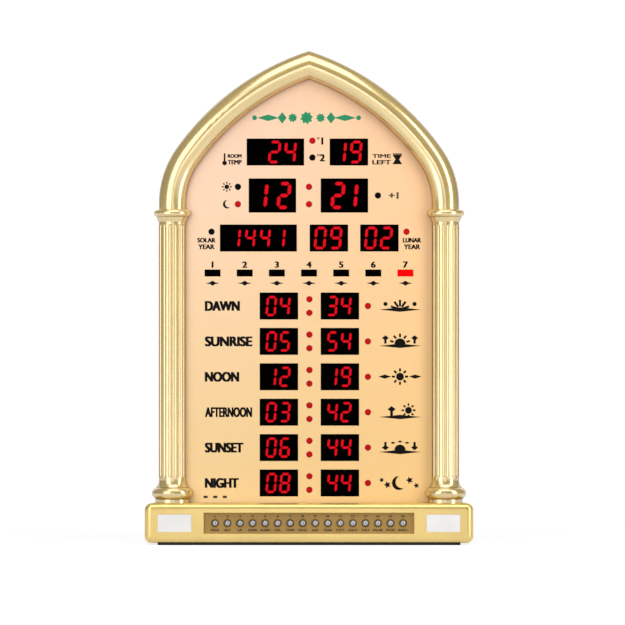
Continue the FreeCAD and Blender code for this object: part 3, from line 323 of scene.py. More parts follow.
@dataclass(frozen=True)
class PrintedSheet(Finish):
    """The face's print, which runs from a pale peach at the upper left to a warm gold."""

    corners: tuple[Colour, ...] = ()
    low: tuple[float, float] = (-0.13, 0.05)
    high: tuple[float, float] = (0.13, 0.44)

    def colours(self, shader: Shader) -> bpy.types.NodeSocket:
        """Blends the four corner shades over the sheet.

        Args:
            shader: The node tree that it belongs to.

        Returns:
            The socket with the colour.
        """
        x, _, z = shader.axes()
        across = shader.span(x, self.low[0], self.high[0])
        up = shader.span(z, self.low[1], self.high[1])
        lower = shader.mix(across, self.corners[0], self.corners[1])
        upper = shader.mix(across, self.corners[2], self.corners[3])
        return shader.mix(up, lower, upper)


@dataclass(frozen=True)
class Lamp(Finish):
    """A coloured lamp face that gives light except at the places that are off."""

    off: tuple[tuple[float, float], ...] = ()
    reach: float = 4 * MM
    dark: Colour = (0.0006, 0.0005, 0.0005)
    strength: float = 0.6

    def unlit(self, shader: Shader) -> bpy.types.NodeSocket:
        """One at the lamps that are off, and nought elsewhere.

        Args:
            shader: The node tree that it belongs to.

        Returns:
            The socket with the mask.
        """
        flat = shader.add("ShaderNodeVectorMath", operation="MULTIPLY")
        flat.inputs[1].default_value = (1, 0, 1)
        shader.link(shader.place, flat.inputs[0])
        nearest = None
        for x, z in self.off:
            apart = shader.add("ShaderNodeVectorMath", operation="DISTANCE")
            apart.inputs[1].default_value = (x, 0, z)
            shader.link(flat.outputs[0], apart.inputs[0])
            gap = apart.outputs["Value"]
            nearest = gap if nearest is None else shader.math("MINIMUM", nearest, gap)
        return shader.math("LESS_THAN", nearest, self.reach)

    def colours(self, shader: Shader) -> bpy.types.NodeSocket:
        """The lamp's own colour, or near black where it is off."""
        return shader.mix(self.unlit(shader), self.colour, self.dark)

    def glow(self, shader: Shader) -> dict[str, object]:
        """Light of the lamp's colour where it is on."""
        power = shader.math("MULTIPLY", shader.math("SUBTRACT", 1.0, self.unlit(shader)), self.strength)
        return {"Emission_Color": self.colour, "Emission_Strength": power}


@dataclass(frozen=True)
class Segment(Finish):
    """A lit bar whose light is faintly uneven."""

    strength: float = 1.0

    def glow(self, shader: Shader) -> dict[str, object]:
        """Even light with a faint unevenness of the diffuser."""
        power = shader.span(shader.noise(2.5 * MM), 0.3, 0.7, 0.88 * self.strength, self.strength)
        return {"Emission_Color": self.colour, "Emission_Strength": power}


@dataclass(frozen=True)
class FlatCable(Finish):
    """Grey ribbed cable with one red edge, the ribs' light and shade painted as stripes."""

    edge: float = 0.0
    wire: float = 1.27 * MM

    def colours(self, shader: Shader) -> bpy.types.NodeSocket:
        """Painted shade of the ribs as darker and paler stripes at the wires' pitch, and red beyond the
        edge.

        Args:
            shader: The node tree that it belongs to.

        Returns:
            The socket with the colour.
        """
        x, _, _ = shader.axes()
        # Painted shade and light of the ribs: a sine across the wires.
        rib_shade = shader.math("SINE", shader.math("MULTIPLY", x, math.tau / self.wire))
        grey = shader.mix(shader.span(rib_shade, -1, 1), tuple(0.6 * c for c in self.colour), self.colour)
        return shader.mix(shader.math("LESS_THAN", x, self.edge), grey, tone(170, 30, 28))


@dataclass(frozen=True)
class CellWrap(Finish):
    """A cell's printed wrap: dark, with a copper band at one end."""

    band: float = 0.0

    def colours(self, shader: Shader) -> bpy.types.NodeSocket:
        """Copper past the band's edge."""
        x, _, _ = shader.axes()
        return shader.mix(shader.math("GREATER_THAN", x, self.band), self.colour, tone(196, 128, 62))


@dataclass(frozen=True)
class Circuit(Finish):
    """Solder mask with paler tracks under it."""

    track: float = 2.2 * MM

    def colours(self, shader: Shader) -> bpy.types.NodeSocket:
        """Cell edges read as tracks.

        Args:
            shader: The node tree that it belongs to.

        Returns:
            The socket with the colour.
        """
        cells = shader.add("ShaderNodeTexVoronoi", feature="DISTANCE_TO_EDGE", distance="CHEBYCHEV")
        cells.inputs["Scale"].default_value = 1 / (4 * self.track)
        shader.link(shader.place, cells.inputs["Vector"])
        lines = shader.span(cells.outputs["Distance"], 0.04, 0.07)
        return shader.mix(lines, tuple(1.9 * c for c in self.colour), self.colour)


class Ink(Enum):
    """The inks that the face and the key strip are printed with."""

    BLACK = Finish("ink_black", (0.005, 0.004, 0.004), gloss=(0.5, 0.65), shine=0.08, shade=0.3,
                   cloud=2 * MM)
    GREY = Finish("ink_grey", tone(66, 56, 48), gloss=(0.45, 0.6), shade=0.2, cloud=2 * MM)
    GREEN = Finish("ink_green", tone(6, 142, 92), gloss=(0.4, 0.5), shade=0.18, cloud=6 * MM)
    BROWN = Finish("ink_brown", tone(44, 30, 16), gloss=(0.45, 0.6), shade=0.3, cloud=2 * MM)


class Align(Enum):
    """Which side of its words a label is placed by."""

    LEFT = 0.0
    CENTRE = 0.5
    RIGHT = 1.0


@dataclass
class InkLayer:
    """Printed shapes and words on one flat surface, gathered and made one piece.

    Shapes are placed in millimetres across and up, and the print stands a hair off its surface. Words
    are made bold by copies a little to each side, closer together where the letters are condensed.
    """

    name: str
    surface: float
    thickness: float = 0.04 * MM
    letter_steps: tuple[tuple[float, float], ...] = ((0, 0), (-1, -0.4), (1, -0.4), (-1, 0.4), (1, 0.4))
    letter_weight: float = 0.082
    full_width: float = 0.8
    levels: int = 14
    level_step: float = 0.002 * MM
    placed: int = 0

    def __post_init__(self) -> None:
        """Starts with an empty mesh."""
        self.mesh = bmesh.new()

    def _place(self, verts: Sequence[bmesh.types.BMVert], x: float, z: float,
               width: float, height: float, turn: float = 0.0) -> None:
        """Sizes, turns and moves a shape drawn about the origin in the XY plane.

        Each shape lies a little deeper than the last, so that none shares its plane with another.

        Args:
            verts: The vertices of the shape.
            x: Its middle across.
            z: Its middle up.
            width: What one unit across becomes.
            height: What one unit up becomes.
            turn: Degrees to the left.
        """
        self.placed += 1
        sink = self.placed % self.levels * self.level_step
        size = Matrix.Diagonal((width * MM, height * MM, 1, 1))
        face_front = Matrix.Rotation(math.pi / 2, 4, "X")
        spin = Matrix.Rotation(math.radians(turn), 4, "Z")
        move = Matrix.Translation((x * MM, self.surface + sink, z * MM))
        bmesh.ops.transform(self.mesh, matrix=move @ face_front @ spin @ size, verts=list(verts))

    def disc(self, x: float, z: float, radius: float, sides: int = 28) -> None:
        """A filled circle."""
        made = bmesh.ops.create_circle(self.mesh, cap_ends=True, segments=sides, radius=1)
        self._place(made["verts"], x, z, radius, radius)

    def bar(self, x: float, z: float, width: float, height: float, turn: float = 0.0) -> None:
        """A filled rectangle."""
        made = bmesh.ops.create_grid(self.mesh, x_segments=1, y_segments=1, size=0.5)
        self._place(made["verts"], x, z, width, height, turn)

    def lozenge(self, x: float, z: float, width: float, height: float) -> None:
        """A diamond, or a tapered rule when it is long and low."""
        made = bmesh.ops.create_circle(self.mesh, cap_ends=True, segments=4, radius=0.5)
        self._place(made["verts"], x, z, width, height)

    def ring(self, x: float, z: float, radius: float, line: float) -> None:
        """An open ring of that line width.

        Args:
            x: Its middle across.
            z: Its middle up.
            radius: Its outer radius.
            line: How wide its line is.
        """
        made = bmesh.ops.create_circle(self.mesh, cap_ends=True, segments=36, radius=1)
        face = made["verts"][0].link_faces[0]
        bmesh.ops.inset_region(self.mesh, faces=[face], thickness=line / radius, use_boundary=True,
                               use_even_offset=True)
        verts = {vert for near in made["verts"] for edge in near.link_edges for vert in edge.verts}
        bmesh.ops.delete(self.mesh, geom=[face], context="FACES_ONLY")
        self._place(verts, x, z, radius, radius)

    def triangle(self, x: float, z: float, width: float, height: float, turn: float) -> None:
        """A filled triangle that points to the right before its turn."""
        made = bmesh.ops.create_circle(self.mesh, cap_ends=True, segments=3, radius=0.62)
        self._place(made["verts"], x, z, width, height, turn)

    def star(self, x: float, z: float, radius: float, points: int, waist: float = 0.55) -> None:
        """A star whose inner corners are at that share of its radius.

        Args:
            x: Its middle across.
            z: Its middle up.
            radius: How far its points reach.
            points: How many points it has.
            waist: The share at the inner corners.
        """
        made = bmesh.ops.create_circle(self.mesh, cap_ends=True, segments=2 * points, radius=1)
        for number, vert in enumerate(made["verts"]):
            if number % 2:
                vert.co *= waist
        self._place(made["verts"], x, z, radius, radius, 90 / points)

    def half_disc(self, x: float, z: float, radius: float) -> None:
        """The upper half of a filled circle.

        Args:
            x: Its middle across.
            z: Where its straight edge is.
            radius: Its radius.
        """
        made = bmesh.ops.create_circle(self.mesh, cap_ends=True, segments=32, radius=1)
        for vert in made["verts"]:
            vert.co.y = max(vert.co.y, 0.0)
        self._place(made["verts"], x, z, radius, radius)

    def crescent(self, x: float, z: float, radius: float, chord: float = 0.35) -> None:
        """A moon: a circle whose right cap is folded back over its chord.

        Args:
            x: Its middle across.
            z: Its middle up.
            radius: Its outer radius.
            chord: Where the fold is, as a share of the radius.
        """
        made = bmesh.ops.create_circle(self.mesh, cap_ends=True, segments=40, radius=1)
        for vert in made["verts"]:
            if vert.co.x > chord:
                vert.co.x = chord - 1.25 * (vert.co.x - chord)
        self._place(made["verts"], x, z, radius, radius, 20)

    def rays(self, x: float, z: float, inner: float, outer: float, line: float,
             count: int, first: float = 0.0, sweep: float = 360.0) -> None:
        """Short bars round a centre, spread over an angle.

        Args:
            x: The centre across.
            z: The centre up.
            inner: Where the bars start.
            outer: Where they stop.
            line: How wide they are.
            count: How many there are.
            first: The angle of the first, in degrees.
            sweep: The angle that they share.
        """
        for number in range(count):
            turn = first + sweep * number / count
            reach = (inner + outer) / 2
            across = x + reach * math.cos(math.radians(turn))
            up = z + reach * math.sin(math.radians(turn))
            self.bar(across, up, outer - inner, line, turn)

    def _flat_words(self, text: str) -> bpy.types.Mesh:
        """Sets words in the plain face as a flat mesh.

        Args:
            text: What they say.

        Returns:
            A mesh in the XY plane, which the caller removes.
        """
        curve = bpy.data.curves.new("words", "FONT")
        curve.body = text
        curve.resolution_u = 4
        holder = bpy.data.objects.new("words", curve)
        bpy.context.scene.collection.objects.link(holder)
        shown = holder.evaluated_get(bpy.context.evaluated_depsgraph_get())
        flat = bpy.data.meshes.new_from_object(shown)
        bpy.data.objects.remove(holder)
        return flat

    def words(self, text: str, x: float, z: float, height: float, align: Align = Align.CENTRE,
              width: float | None = None, condense: float = 0.8) -> None:
        """Printed words, centred on their height.

        Args:
            text: What they say.
            x: Where the aligned side is.
            z: Where the middle of their height is.
            height: How tall the capitals are.
            align: Which side x belongs to.
            width: How wide the words are, or none to use condense.
            condense: The share of the letters' own width that they keep.
        """
        flat = self._flat_words(text)
        low = Vector(min(v.co[k] for v in flat.vertices) for k in range(3))
        high = Vector(max(v.co[k] for v in flat.vertices) for k in range(3))
        tall = height / (high.y - low.y)
        wide = tall * condense if width is None else width / (high.x - low.x)
        aside = low.x + align.value * (high.x - low.x)
        flat.transform(Matrix.Translation((-aside, -(low.y + high.y) / 2, 0)))
        for across, up in self.letter_steps:
            known = set(self.mesh.verts)
            self.mesh.from_mesh(flat)
            copied = [vert for vert in self.mesh.verts if vert not in known]
            step = self.letter_weight * height
            slim = min(1.0, wide / tall / self.full_width)
            self._place(copied, x + across * step * slim, z + up * step, wide, tall)
        bpy.data.meshes.remove(flat)

    def finish(self, ink: Ink) -> bpy.types.Object:
        """Gives the print its thickness and makes it a piece of the case.

        Args:
            ink: What it is printed with.

        Returns:
            The finished object.
        """
        bmesh.ops.remove_doubles(self.mesh, verts=self.mesh.verts, dist=1e-7)
        lifted = bmesh.ops.extrude_face_region(self.mesh, geom=self.mesh.faces[:])
        moved = [item for item in lifted["geom"] if isinstance(item, bmesh.types.BMVert)]
        bmesh.ops.translate(self.mesh, vec=(0, -self.thickness, 0), verts=moved)
        bmesh.ops.recalc_face_normals(self.mesh, faces=self.mesh.faces)
        data = bpy.data.meshes.new(self.name)
        self.mesh.to_mesh(data)
        self.mesh.free()
        piece = bpy.data.objects.new(self.name, data)
        bpy.context.scene.collection.objects.link(piece)
        piece.data.materials.append(MATERIALS.of(ink.value))
        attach(piece, CASE)
        LOG.info("%s printed with %d faces", self.name, len(data.polygons))
        return piece


class Materials:
    """Each finish made a material once."""

    def __init__(self) -> None:
        """Starts with none made."""
        self.made: dict[str, bpy.types.Material] = {}

    def of(self, finish: Finish) -> bpy.types.Material:
        """The material of a finish.

        Args:
            finish: The finish to look up.

        Returns:
            Its material, which is made the first time.
        """
        if finish.name not in self.made:
            self.made[finish.name] = finish.material()
        return self.made[finish.name]


MATERIALS = Materials()


@dataclass
class CaseWork:
    """The mouldings, the sheet behind them and everything that the case holds.

    A lamp that is off is placed in millimetres across, and up from the middle of a display.
    """

    lamps_off: tuple[tuple[str, float, float], ...] = (
        ("temperature_display", 3.4, -5.5),
        ("hour_display", -71.1, 8.7),
        ("hour_display", 68.9, 0.0),
        ("year_display", -97.5, 6.3),
    )
    day_bar_reach: float = 9.0
    # How far in front of the sheet the mouldings' painted shade reaches, in millimetres.
    deepening: float = 9.0
    cable_edge: float = -4.8
    wrap_edge: float = 14.0

    def round_lamps_off(self) -> tuple[tuple[float, float], ...]:
        """Where the round lamps that are off stand."""
        return tuple((x * MM, middle(node).z + up * MM) for node, x, up in self.lamps_off)

    def day_bars_off(self) -> tuple[tuple[float, float], ...]:
        """Where the day bars that are off stand: all but the last.

        Returns:
            Their places across and up.
        """
        low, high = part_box("weekday_bars")
        step = (high.x - low.x - DAY_BAR_WIDTH) / (DAYS - 1)
        half = DAYS // 2
        return tuple((step * place, middle("weekday_bars").z) for place in range(-half, half))

    def gold(self) -> dict[Finish, Sequence[str]]:
        """The plated mouldings and the satin plinth.

        Returns:
            Each finish with the nodes that it dresses.
        """
        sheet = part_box("face_panel")[0].y
        # Painted shade: the plate darkens and loses lacquer over the last millimetres before the sheet,
        # where the moulding's underside lies in shadow.
        plate = PlatedMoulding("champagne_gold", tone(215, 184, 100), metal=0.55, gloss=(0.22, 0.28),
                               shine=0.5, coat=1.0, coat_blur=0.14, coat_index=2.5, grain=0.25 * MM,
                               relief=0.002 * MM, shade=0.05, deep=tone(120, 84, 26),
                               start=sheet - self.deepening * MM, stop=sheet)
        pieces = ("capital", "column", "column_base")
        columns = [f"{side}_{piece}" for side in ("left", "right") for piece in pieces]
        return {
            plate: ["arch_moulding", *columns],
            replace(plate, name="satin_gold", colour=tone(234, 201, 112), coat=0.35): ["plinth_moulding"],
        }

    def front(self) -> dict[Finish, Sequence[str]]:
        """The face sheet, the key strip with its keys, and the lenses.

        Returns:
            Each finish with the nodes that it dresses.
        """
        corners = (tone(255, 219, 158), tone(255, 211, 142), tone(250, 213, 186), tone(252, 203, 156))
        keys = [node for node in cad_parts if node.startswith("key_") and node[4:].isdigit()]
        return {
            PrintedSheet("printed_face", tone(255, 214, 150), gloss=(0.42, 0.5), shine=0.35, grain=0.35 * MM,
                         stretch=(1, 1, 30), relief=0.003 * MM, corners=corners): ["face_panel"],
            Finish("strip_bronze", tone(172, 136, 70), metal=0.3, gloss=(0.36, 0.46), grain=0.3 * MM,
                   stretch=(24, 1, 1), relief=0.004 * MM, shade=0.12): ["key_strip"],
            Finish("key_chrome", (0.36, 0.37, 0.41), metal=1.0, gloss=(0.05, 0.10), shade=0.05,
                   relief=0.0005 * MM): keys,
            Finish("frosted_lens", (0.99, 0.985, 0.965), gloss=(0.22, 0.32), shine=0.5, coat=0.3,
                   shade=0.05, cloud=25 * MM): ["left_lamp_lens", "right_lamp_lens"],
        }

    def lights(self) -> dict[Finish, Sequence[str]]:
        """The displays, their lit bars and the lamps.

        Returns:
            Each finish with the nodes that it dresses.
        """
        plates = [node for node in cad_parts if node.endswith("_display")]
        return {
            Finish("display_black", (0.0005, 0.0004, 0.0005), gloss=(0.32, 0.42), shine=0.0,
                   shade=0.3, cloud=8 * MM): plates,
            Segment("segment_red", tone(170, 6, 18), gloss=(0.4, 0.5), shine=0.05,
                    strength=0.95): ["lit_segments"],
            Lamp("round_lamp", tone(186, 16, 22), gloss=(0.3, 0.4), shine=0.06,
                 off=self.round_lamps_off(), strength=0.10): ["indicator_leds"],
            Lamp("day_lamp", tone(205, 4, 6), gloss=(0.3, 0.4), shine=0.0, off=self.day_bars_off(),
                 reach=self.day_bar_reach * MM, strength=0.95): ["weekday_bars"],
        }

    def back(self) -> dict[Finish, Sequence[str]]:
        """The rear shell and all that it holds.

        Returns:
            Each finish with the nodes that it dresses.
        """
        return {
            Finish("shell_black", (0.030, 0.029, 0.028), gloss=(0.5, 0.66), grain=0.45 * MM,
                   relief=0.05 * MM, shade=0.16): ["rear_shell", "battery_door", "battery_tray"],
            Circuit("board_green", tone(24, 92, 50), gloss=(0.25, 0.4)): ["display_board", "key_board"],
            Finish("moulded_black", (0.016, 0.016, 0.017), gloss=(0.4, 0.55), relief=0.02 * MM):
                ["key_switches", "board_components", "speaker", "dc_jack"],
            Finish("lamp_yellow", tone(236, 222, 150), gloss=(0.3, 0.4), cloud=2 * MM): ["lamp_leds"],
            Finish("zinc_steel", tone(186, 186, 182), metal=1.0, gloss=(0.24, 0.38), grain=0.2 * MM,
                   relief=0.004 * MM): ["case_screws", "board_screws"],
            Finish("soft_rubber", (0.022, 0.022, 0.022), gloss=(0.72, 0.85), grain=0.3 * MM,
                   relief=0.03 * MM, shine=0.3): ["rubber_feet"],
            Finish("nickel", tone(200, 198, 190), metal=1.0, gloss=(0.18, 0.28)): ["battery_contacts"],
            FlatCable("flat_cable", tone(168, 170, 174), edge=self.cable_edge * MM): ["ribbon_cable"],
            CellWrap("cell_wrap", tone(34, 52, 96), gloss=(0.2, 0.3),
                     band=middle("backup_cells").x + self.wrap_edge * MM): ["backup_cells"],
        }

    def dress(self) -> None:
        """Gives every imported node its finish."""
        finishes = {**self.gold(), **self.front(), **self.lights(), **self.back()}
        for finish, nodes in finishes.items():
            for node in nodes:
                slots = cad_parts[node].data.materials
                slots.clear()
                slots.append(MATERIALS.of(finish))
            LOG.info("%s dresses %d nodes", finish.name, len(nodes))


@dataclass
class FacePrint:
    """Everything printed on the face sheet."""

    row_nodes: tuple[str, ...] = ("dawn", "sunrise", "noon", "afternoon", "sunset", "night")
    row_left: float = -103.4
    row_letter: float = 9.4
    row_width: float = 46.0
    wide_name: int = 7
    picture_middle: float = 91.0
    picture_width: float = 42.0
    day_letter: float = 5.9
    day_rise: float = 8.4
    rule_drop: float = 10.2
    rule_size: tuple[float, float] = (14.0, 2.8)
    rule_dot: float = 2.3
    horizon_drop: float = 4.4
    horizon_line: float = 4.4
    half_sun: float = 5.6
    half_sun_drop: float = 2.6
    arrow_place: float = 14.6
    half_day_rise: float = 8.7
    note_drop: float = 7.6
    note_rises: tuple[float, float] = (3.6, -2.6)
    note_letters: tuple[float, float] = (3.6, 4.2)
    note_widths: tuple[float, float] = (13.4, 18.0)
    calendar_place: float = 102.6
    ornament_rise: float = 34.2
    ornament_middle: float = -2.4
    mark_size: tuple[float, float] = (4.2, 2.4)
    mark_step: float = 9.6
    mark_rise: float = 47.6

    def __post_init__(self) -> None:
        """Reads where the sheet and the displays are."""
        self.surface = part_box("face_panel")[0].y
        self.rows = [middle(f"{node}_display").z / MM for node in self.row_nodes]
        self.top = middle("temperature_display").z / MM
        self.time = middle("hour_display").z / MM
        self.date = middle("year_display").z / MM
        self.week = middle("weekday_bars").z / MM

    def layer(self, name: str) -> InkLayer:
        """A new print layer on the sheet."""
        return InkLayer(name, self.surface)

    def row_labels(self) -> None:
        """The name of each daily time, left of its row."""
        for node, up in zip(self.row_nodes, self.rows):
            layer = self.layer(f"{node}_label")
            width = self.row_width if len(node) >= self.wide_name else None
            layer.words(node.upper(), self.row_left, up, self.row_letter, Align.LEFT, width, 0.80)
            layer.finish(Ink.BLACK)

    def row_pictures(self) -> None:
        """A wide picture right of each row: the sun against the horizon, and the moon for the night."""
        drawings = (self._dawn, self._sunrise, self._noon, self._afternoon, self._sunset, self._night)
        for draw, node, up in zip(drawings, self.row_nodes, self.rows):
            layer = self.layer(f"{node}_picture")
            draw(layer, self.picture_middle, up)
            layer.finish(Ink.BLACK)

    def _horizon(self, layer: InkLayer, x: float, z: float) -> None:
        """A tapered line across the picture, thick in the middle."""
        layer.lozenge(x, z, self.picture_width, self.horizon_line)

    def _arrows(self, layer: InkLayer, x: float, z: float, rise: float) -> None:
        """An arrow at each side of the picture, whose head lies that far over its shaft.

        Args:
            layer: What it prints on.
            x: The picture's middle across.
            z: The middle of the shafts.
            rise: How far the heads are over it, or under it if negative.
        """
        for side in (-1, 1):
            layer.bar(x + side * self.arrow_place, z, 2.3, 6.4)
            layer.lozenge(x + side * self.arrow_place, z + rise, 7.0, 5.4)

    def _dawn(self, layer: InkLayer, x: float, z: float) -> None:
        """A sun still under the horizon, with rays that rise over it.

        Args:
            layer: What it prints on.
            x: The picture's middle across.
            z: The picture's middle up.
        """
        self._horizon(layer, x, z - 3.6)
        layer.rays(x, z - 3.4, 3.0, 9.6, 2.2, 5, 18, 180)
        for side in (-1, 1):
            layer.disc(x + side * 14.5, z + 2.0, 2.1, 16)

    def _sunrise(self, layer: InkLayer, x: float, z: float) -> None:
        """Half a sun on the horizon, between two arrowheads that point up.

        Args:
            layer: What it prints on.
            x: The picture's middle across.
            z: The picture's middle up.
        """
        self._horizon(layer, x, z - self.horizon_drop)
        layer.half_disc(x, z - self.half_sun_drop, self.half_sun)
        layer.rays(x, z - self.half_sun_drop, 6.8, 10.4, 2.0, 5, 18, 180)
        self._arrows(layer, x, z + 1.0, 2.4)

    def _noon(self, layer: InkLayer, x: float, z: float) -> None:
        """A full sun high up.

        Args:
            layer: What it prints on.
            x: The picture's middle across.
            z: The picture's middle up.
        """
        layer.disc(x, z + 0.2, 3.9)
        layer.rays(x, z + 0.2, 5.0, 8.2, 2.0, 8)
        for side in (-1, 1):
            layer.lozenge(x + side * 15.2, z + 0.2, 12.5, 4.2)

    def _afternoon(self, layer: InkLayer, x: float, z: float) -> None:
        """A sun halfway down on the right, over a long shadow.

        Args:
            layer: What it prints on.
            x: The picture's middle across.
            z: The picture's middle up.
        """
        self._horizon(layer, x, z - 4.8)
        layer.disc(x + 8.5, z + 1.9, 3.4)
        layer.rays(x + 8.5, z + 1.9, 4.4, 7.0, 1.7, 8)
        layer.bar(x - 8.4, z - 1.2, 2.6, 7.4)
        layer.lozenge(x - 8.4, z + 3.0, 8.0, 6.4)

    def _sunset(self, layer: InkLayer, x: float, z: float) -> None:
        """Half a sun on the horizon, between two arrowheads that point down.

        Args:
            layer: What it prints on.
            x: The picture's middle across.
            z: The picture's middle up.
        """
        self._horizon(layer, x, z - self.horizon_drop)
        layer.half_disc(x, z - self.half_sun_drop, self.half_sun)
        self._arrows(layer, x, z + 2.4, -2.4)
        for side in (-1, 0, 1):
            layer.lozenge(x + side * 7.0, z + 6.0 - 1.2 * abs(side), 5.2, 2.2)

    def _night(self, layer: InkLayer, x: float, z: float) -> None:
        """A crescent moon among stars.

        Args:
            layer: What it prints on.
            x: The picture's middle across.
            z: The picture's middle up.
        """
        layer.crescent(x - 1.0, z, 7.0)
        for across, up, size in ((9.6, 2.8, 3.9), (16.4, -2.6, 3.1), (-12.6, -1.8, 3.9), (-18.4, 3.0, 2.8)):
            layer.star(x + across, z + up, size, 5, 0.46)

    def week_labels(self) -> None:
        """Plain numbers over the day bars, and a tapered rule under each."""
        low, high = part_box("weekday_bars")
        first = (low.x + DAY_BAR_WIDTH / 2) / MM
        last = (high.x - DAY_BAR_WIDTH / 2) / MM
        step = (last - first) / (DAYS - 1)
        layer = self.layer("day_labels")
        for number in range(DAYS):
            x = first + step * number
            layer.words(str(number + 1), x, self.week + self.day_rise, self.day_letter, condense=1.1)
            layer.lozenge(x, self.week - self.rule_drop, *self.rule_size)
            layer.disc(x, self.week - self.rule_drop, self.rule_dot, 20)
        layer.finish(Ink.BLACK)

    def time_labels(self) -> None:
        """A sun and a moon for the half days, a number for each scale, and the extra summer hour."""
        layer = self.layer("half_day_labels")
        layer.disc(-82.2, self.time + self.half_day_rise, 2.3, 24)
        layer.rays(-82.2, self.time + self.half_day_rise, 3.1, 5.0, 1.3, 8)
        layer.crescent(-81.8, self.time - self.half_day_rise, 4.3)
        layer.finish(Ink.BLACK)
        layer = self.layer("scale_labels")
        for number, up in (("1", 11.3), ("2", -5.5)):
            layer.words(number, 13.3, self.top + up - 0.3, 6.8, condense=1.0)
            layer.ring(9.2, self.top + up + 2.4, 1.25, 0.62)
        layer.finish(Ink.BLACK)
        layer = self.layer("summer_label")
        layer.words("+1", 84.6, self.time, 6.2, condense=1.2)
        layer.finish(Ink.GREY)

    def _note(self, layer: InkLayer, words: tuple[str, str], x: float, align: Align, width: float) -> None:
        """Two short lines beside a display at the top.

        Args:
            layer: What it prints on.
            words: The upper and the lower line.
            x: Where their aligned side is.
            align: Which side that is.
            width: How wide both lines are.
        """
        row = self.top - self.note_drop
        for text, rise, letter in zip(words, self.note_rises, self.note_letters):
            layer.words(text, x, row + rise, letter, align, width)

    def top_notes(self) -> None:
        """The notes of the temperature and the countdown, with a thermometer and an hourglass."""
        row = self.top - self.note_drop
        layer = self.layer("temperature_label")
        self._note(layer, ("ROOM", "TEMP"), -67.6, Align.RIGHT, self.note_widths[0])
        layer.disc(-84.4, row - 3.4, 2.3)
        layer.bar(-84.4, row + 1.4, 1.7, 8.4)
        layer.disc(-84.4, row + 5.6, 0.85, 16)
        layer.finish(Ink.BLACK)
        layer = self.layer("countdown_label")
        self._note(layer, ("TIME", "LEFT"), 63.6, Align.LEFT, self.note_widths[1])
        for up, turn in ((5.2, 180), (-4.4, 0)):
            layer.triangle(88.3, row + up / 2.2, 9.0, 8.0, turn)
            layer.bar(88.3, row + up + 0.4, 9.0, 1.1)
        layer.finish(Ink.BLACK)

    def calendar_labels(self) -> None:
        """Which calendar the year and the month belong to."""
        places = {"solar": -self.calendar_place, "lunar": self.calendar_place + 0.4}
        for node, x in places.items():
            layer = self.layer(f"{node}_label")
            layer.words(node.upper(), x, self.date - 2.2, 4.4, width=17.6)
            layer.words("YEAR", x, self.date - 8.8, 4.6, width=15.6)
            layer.finish(Ink.BLACK)

    def ornament(self) -> None:
        """A green band over the displays: an eight-point star between tapered rules."""
        up = self.top + self.ornament_rise
        x = self.ornament_middle
        layer = self.layer("green_ornament")
        layer.star(x, up, 6.6, 8, 0.72)
        for side in (-1, 1):
            layer.star(x + side * 14.0, up, 4.8, 8, 0.70)
            layer.lozenge(x + side * 24.4, up, 9.0, 11.6)
            layer.lozenge(x + side * 38.4, up, 22.0, 6.4)
            layer.disc(x + side * 52.0, up, 2.4, 18)
        layer.finish(Ink.GREEN)

    def corner_marks(self) -> None:
        """Three tiny marks low at the left."""
        layer = self.layer("corner_marks")
        for number in range(3):
            layer.bar(self.row_left + self.mark_step * number, self.mark_rise, *self.mark_size)
        layer.finish(Ink.BROWN)

    def build(self) -> None:
        """Prints the whole face."""
        self.row_labels()
        self.row_pictures()
        self.week_labels()
        self.time_labels()
        self.top_notes()
        self.calendar_labels()
        self.ornament()
        self.corner_marks()


@dataclass
class KeyPrint:
    """The legends over and under the keys."""

    legends: tuple[str, ...] = ("MODE", "SET", "UP", "DOWN", "ALARM", "VOL", "TEMP", "DATE",
                                "DAY", "YEAR", "CITY", "LIGHT", "TEST", "PAUSE", "STOP", "RESET")
    rise: float = 6.9
    letter: float = 2.3
    legend_letter: float = 2.07
    letter_pitch: float = 2.1
    widest: float = 9.6
    ring_radius: float = 4.05
    ring_line: float = 0.5

    def build(self) -> None:
        """Numbers over the keys, words under them, and a black ring round each key that is painted shade of
        the dark gap it sits in.
        """
        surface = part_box("key_strip")[0].y
        layer = InkLayer("key_legends", surface)
        # Painted shade: a thin black ring for the dark gap round each key.
        gap_shade = InkLayer("key_gap_shade", surface)
        for number, legend in enumerate(self.legends, start=1):
            key = middle(f"key_{number:02d}") / MM
            width = min(self.widest, self.letter_pitch * len(legend))
            layer.words(str(number), key.x, key.z + self.rise, self.letter, condense=1.1)
            layer.words(legend, key.x, key.z - self.rise, self.legend_letter, width=width)
            gap_shade.ring(key.x, key.z, self.ring_radius, self.ring_line)
        layer.finish(Ink.BROWN)
        gap_shade.finish(Ink.BLACK)


@dataclass(frozen=True)
class Softbox:
    """A rectangular lamp that the camera doesn't see, with how bright its face is."""

    name: str
    place: tuple[float, float, float]
    size: tuple[float, float]
    radiance: float

    def hang(self, target: Vector) -> None:
        """Makes the lamp and points it.

        Args:
            target: What it points at.
        """
        light = bpy.data.lights.new(self.name, "AREA")
        light.shape = "RECTANGLE"
        light.size, light.size_y = self.size
        light.energy = self.radiance * math.pi * self.size[0] * self.size[1]
        holder = bpy.data.objects.new(self.name, light)
        bpy.context.scene.collection.objects.link(holder)
        aim = target - Vector(self.place)
        turn = aim.to_track_quat("-Z", "Y").to_matrix().to_4x4()
        holder.matrix_world = Matrix.Translation(self.place) @ turn
        holder.visible_camera = False


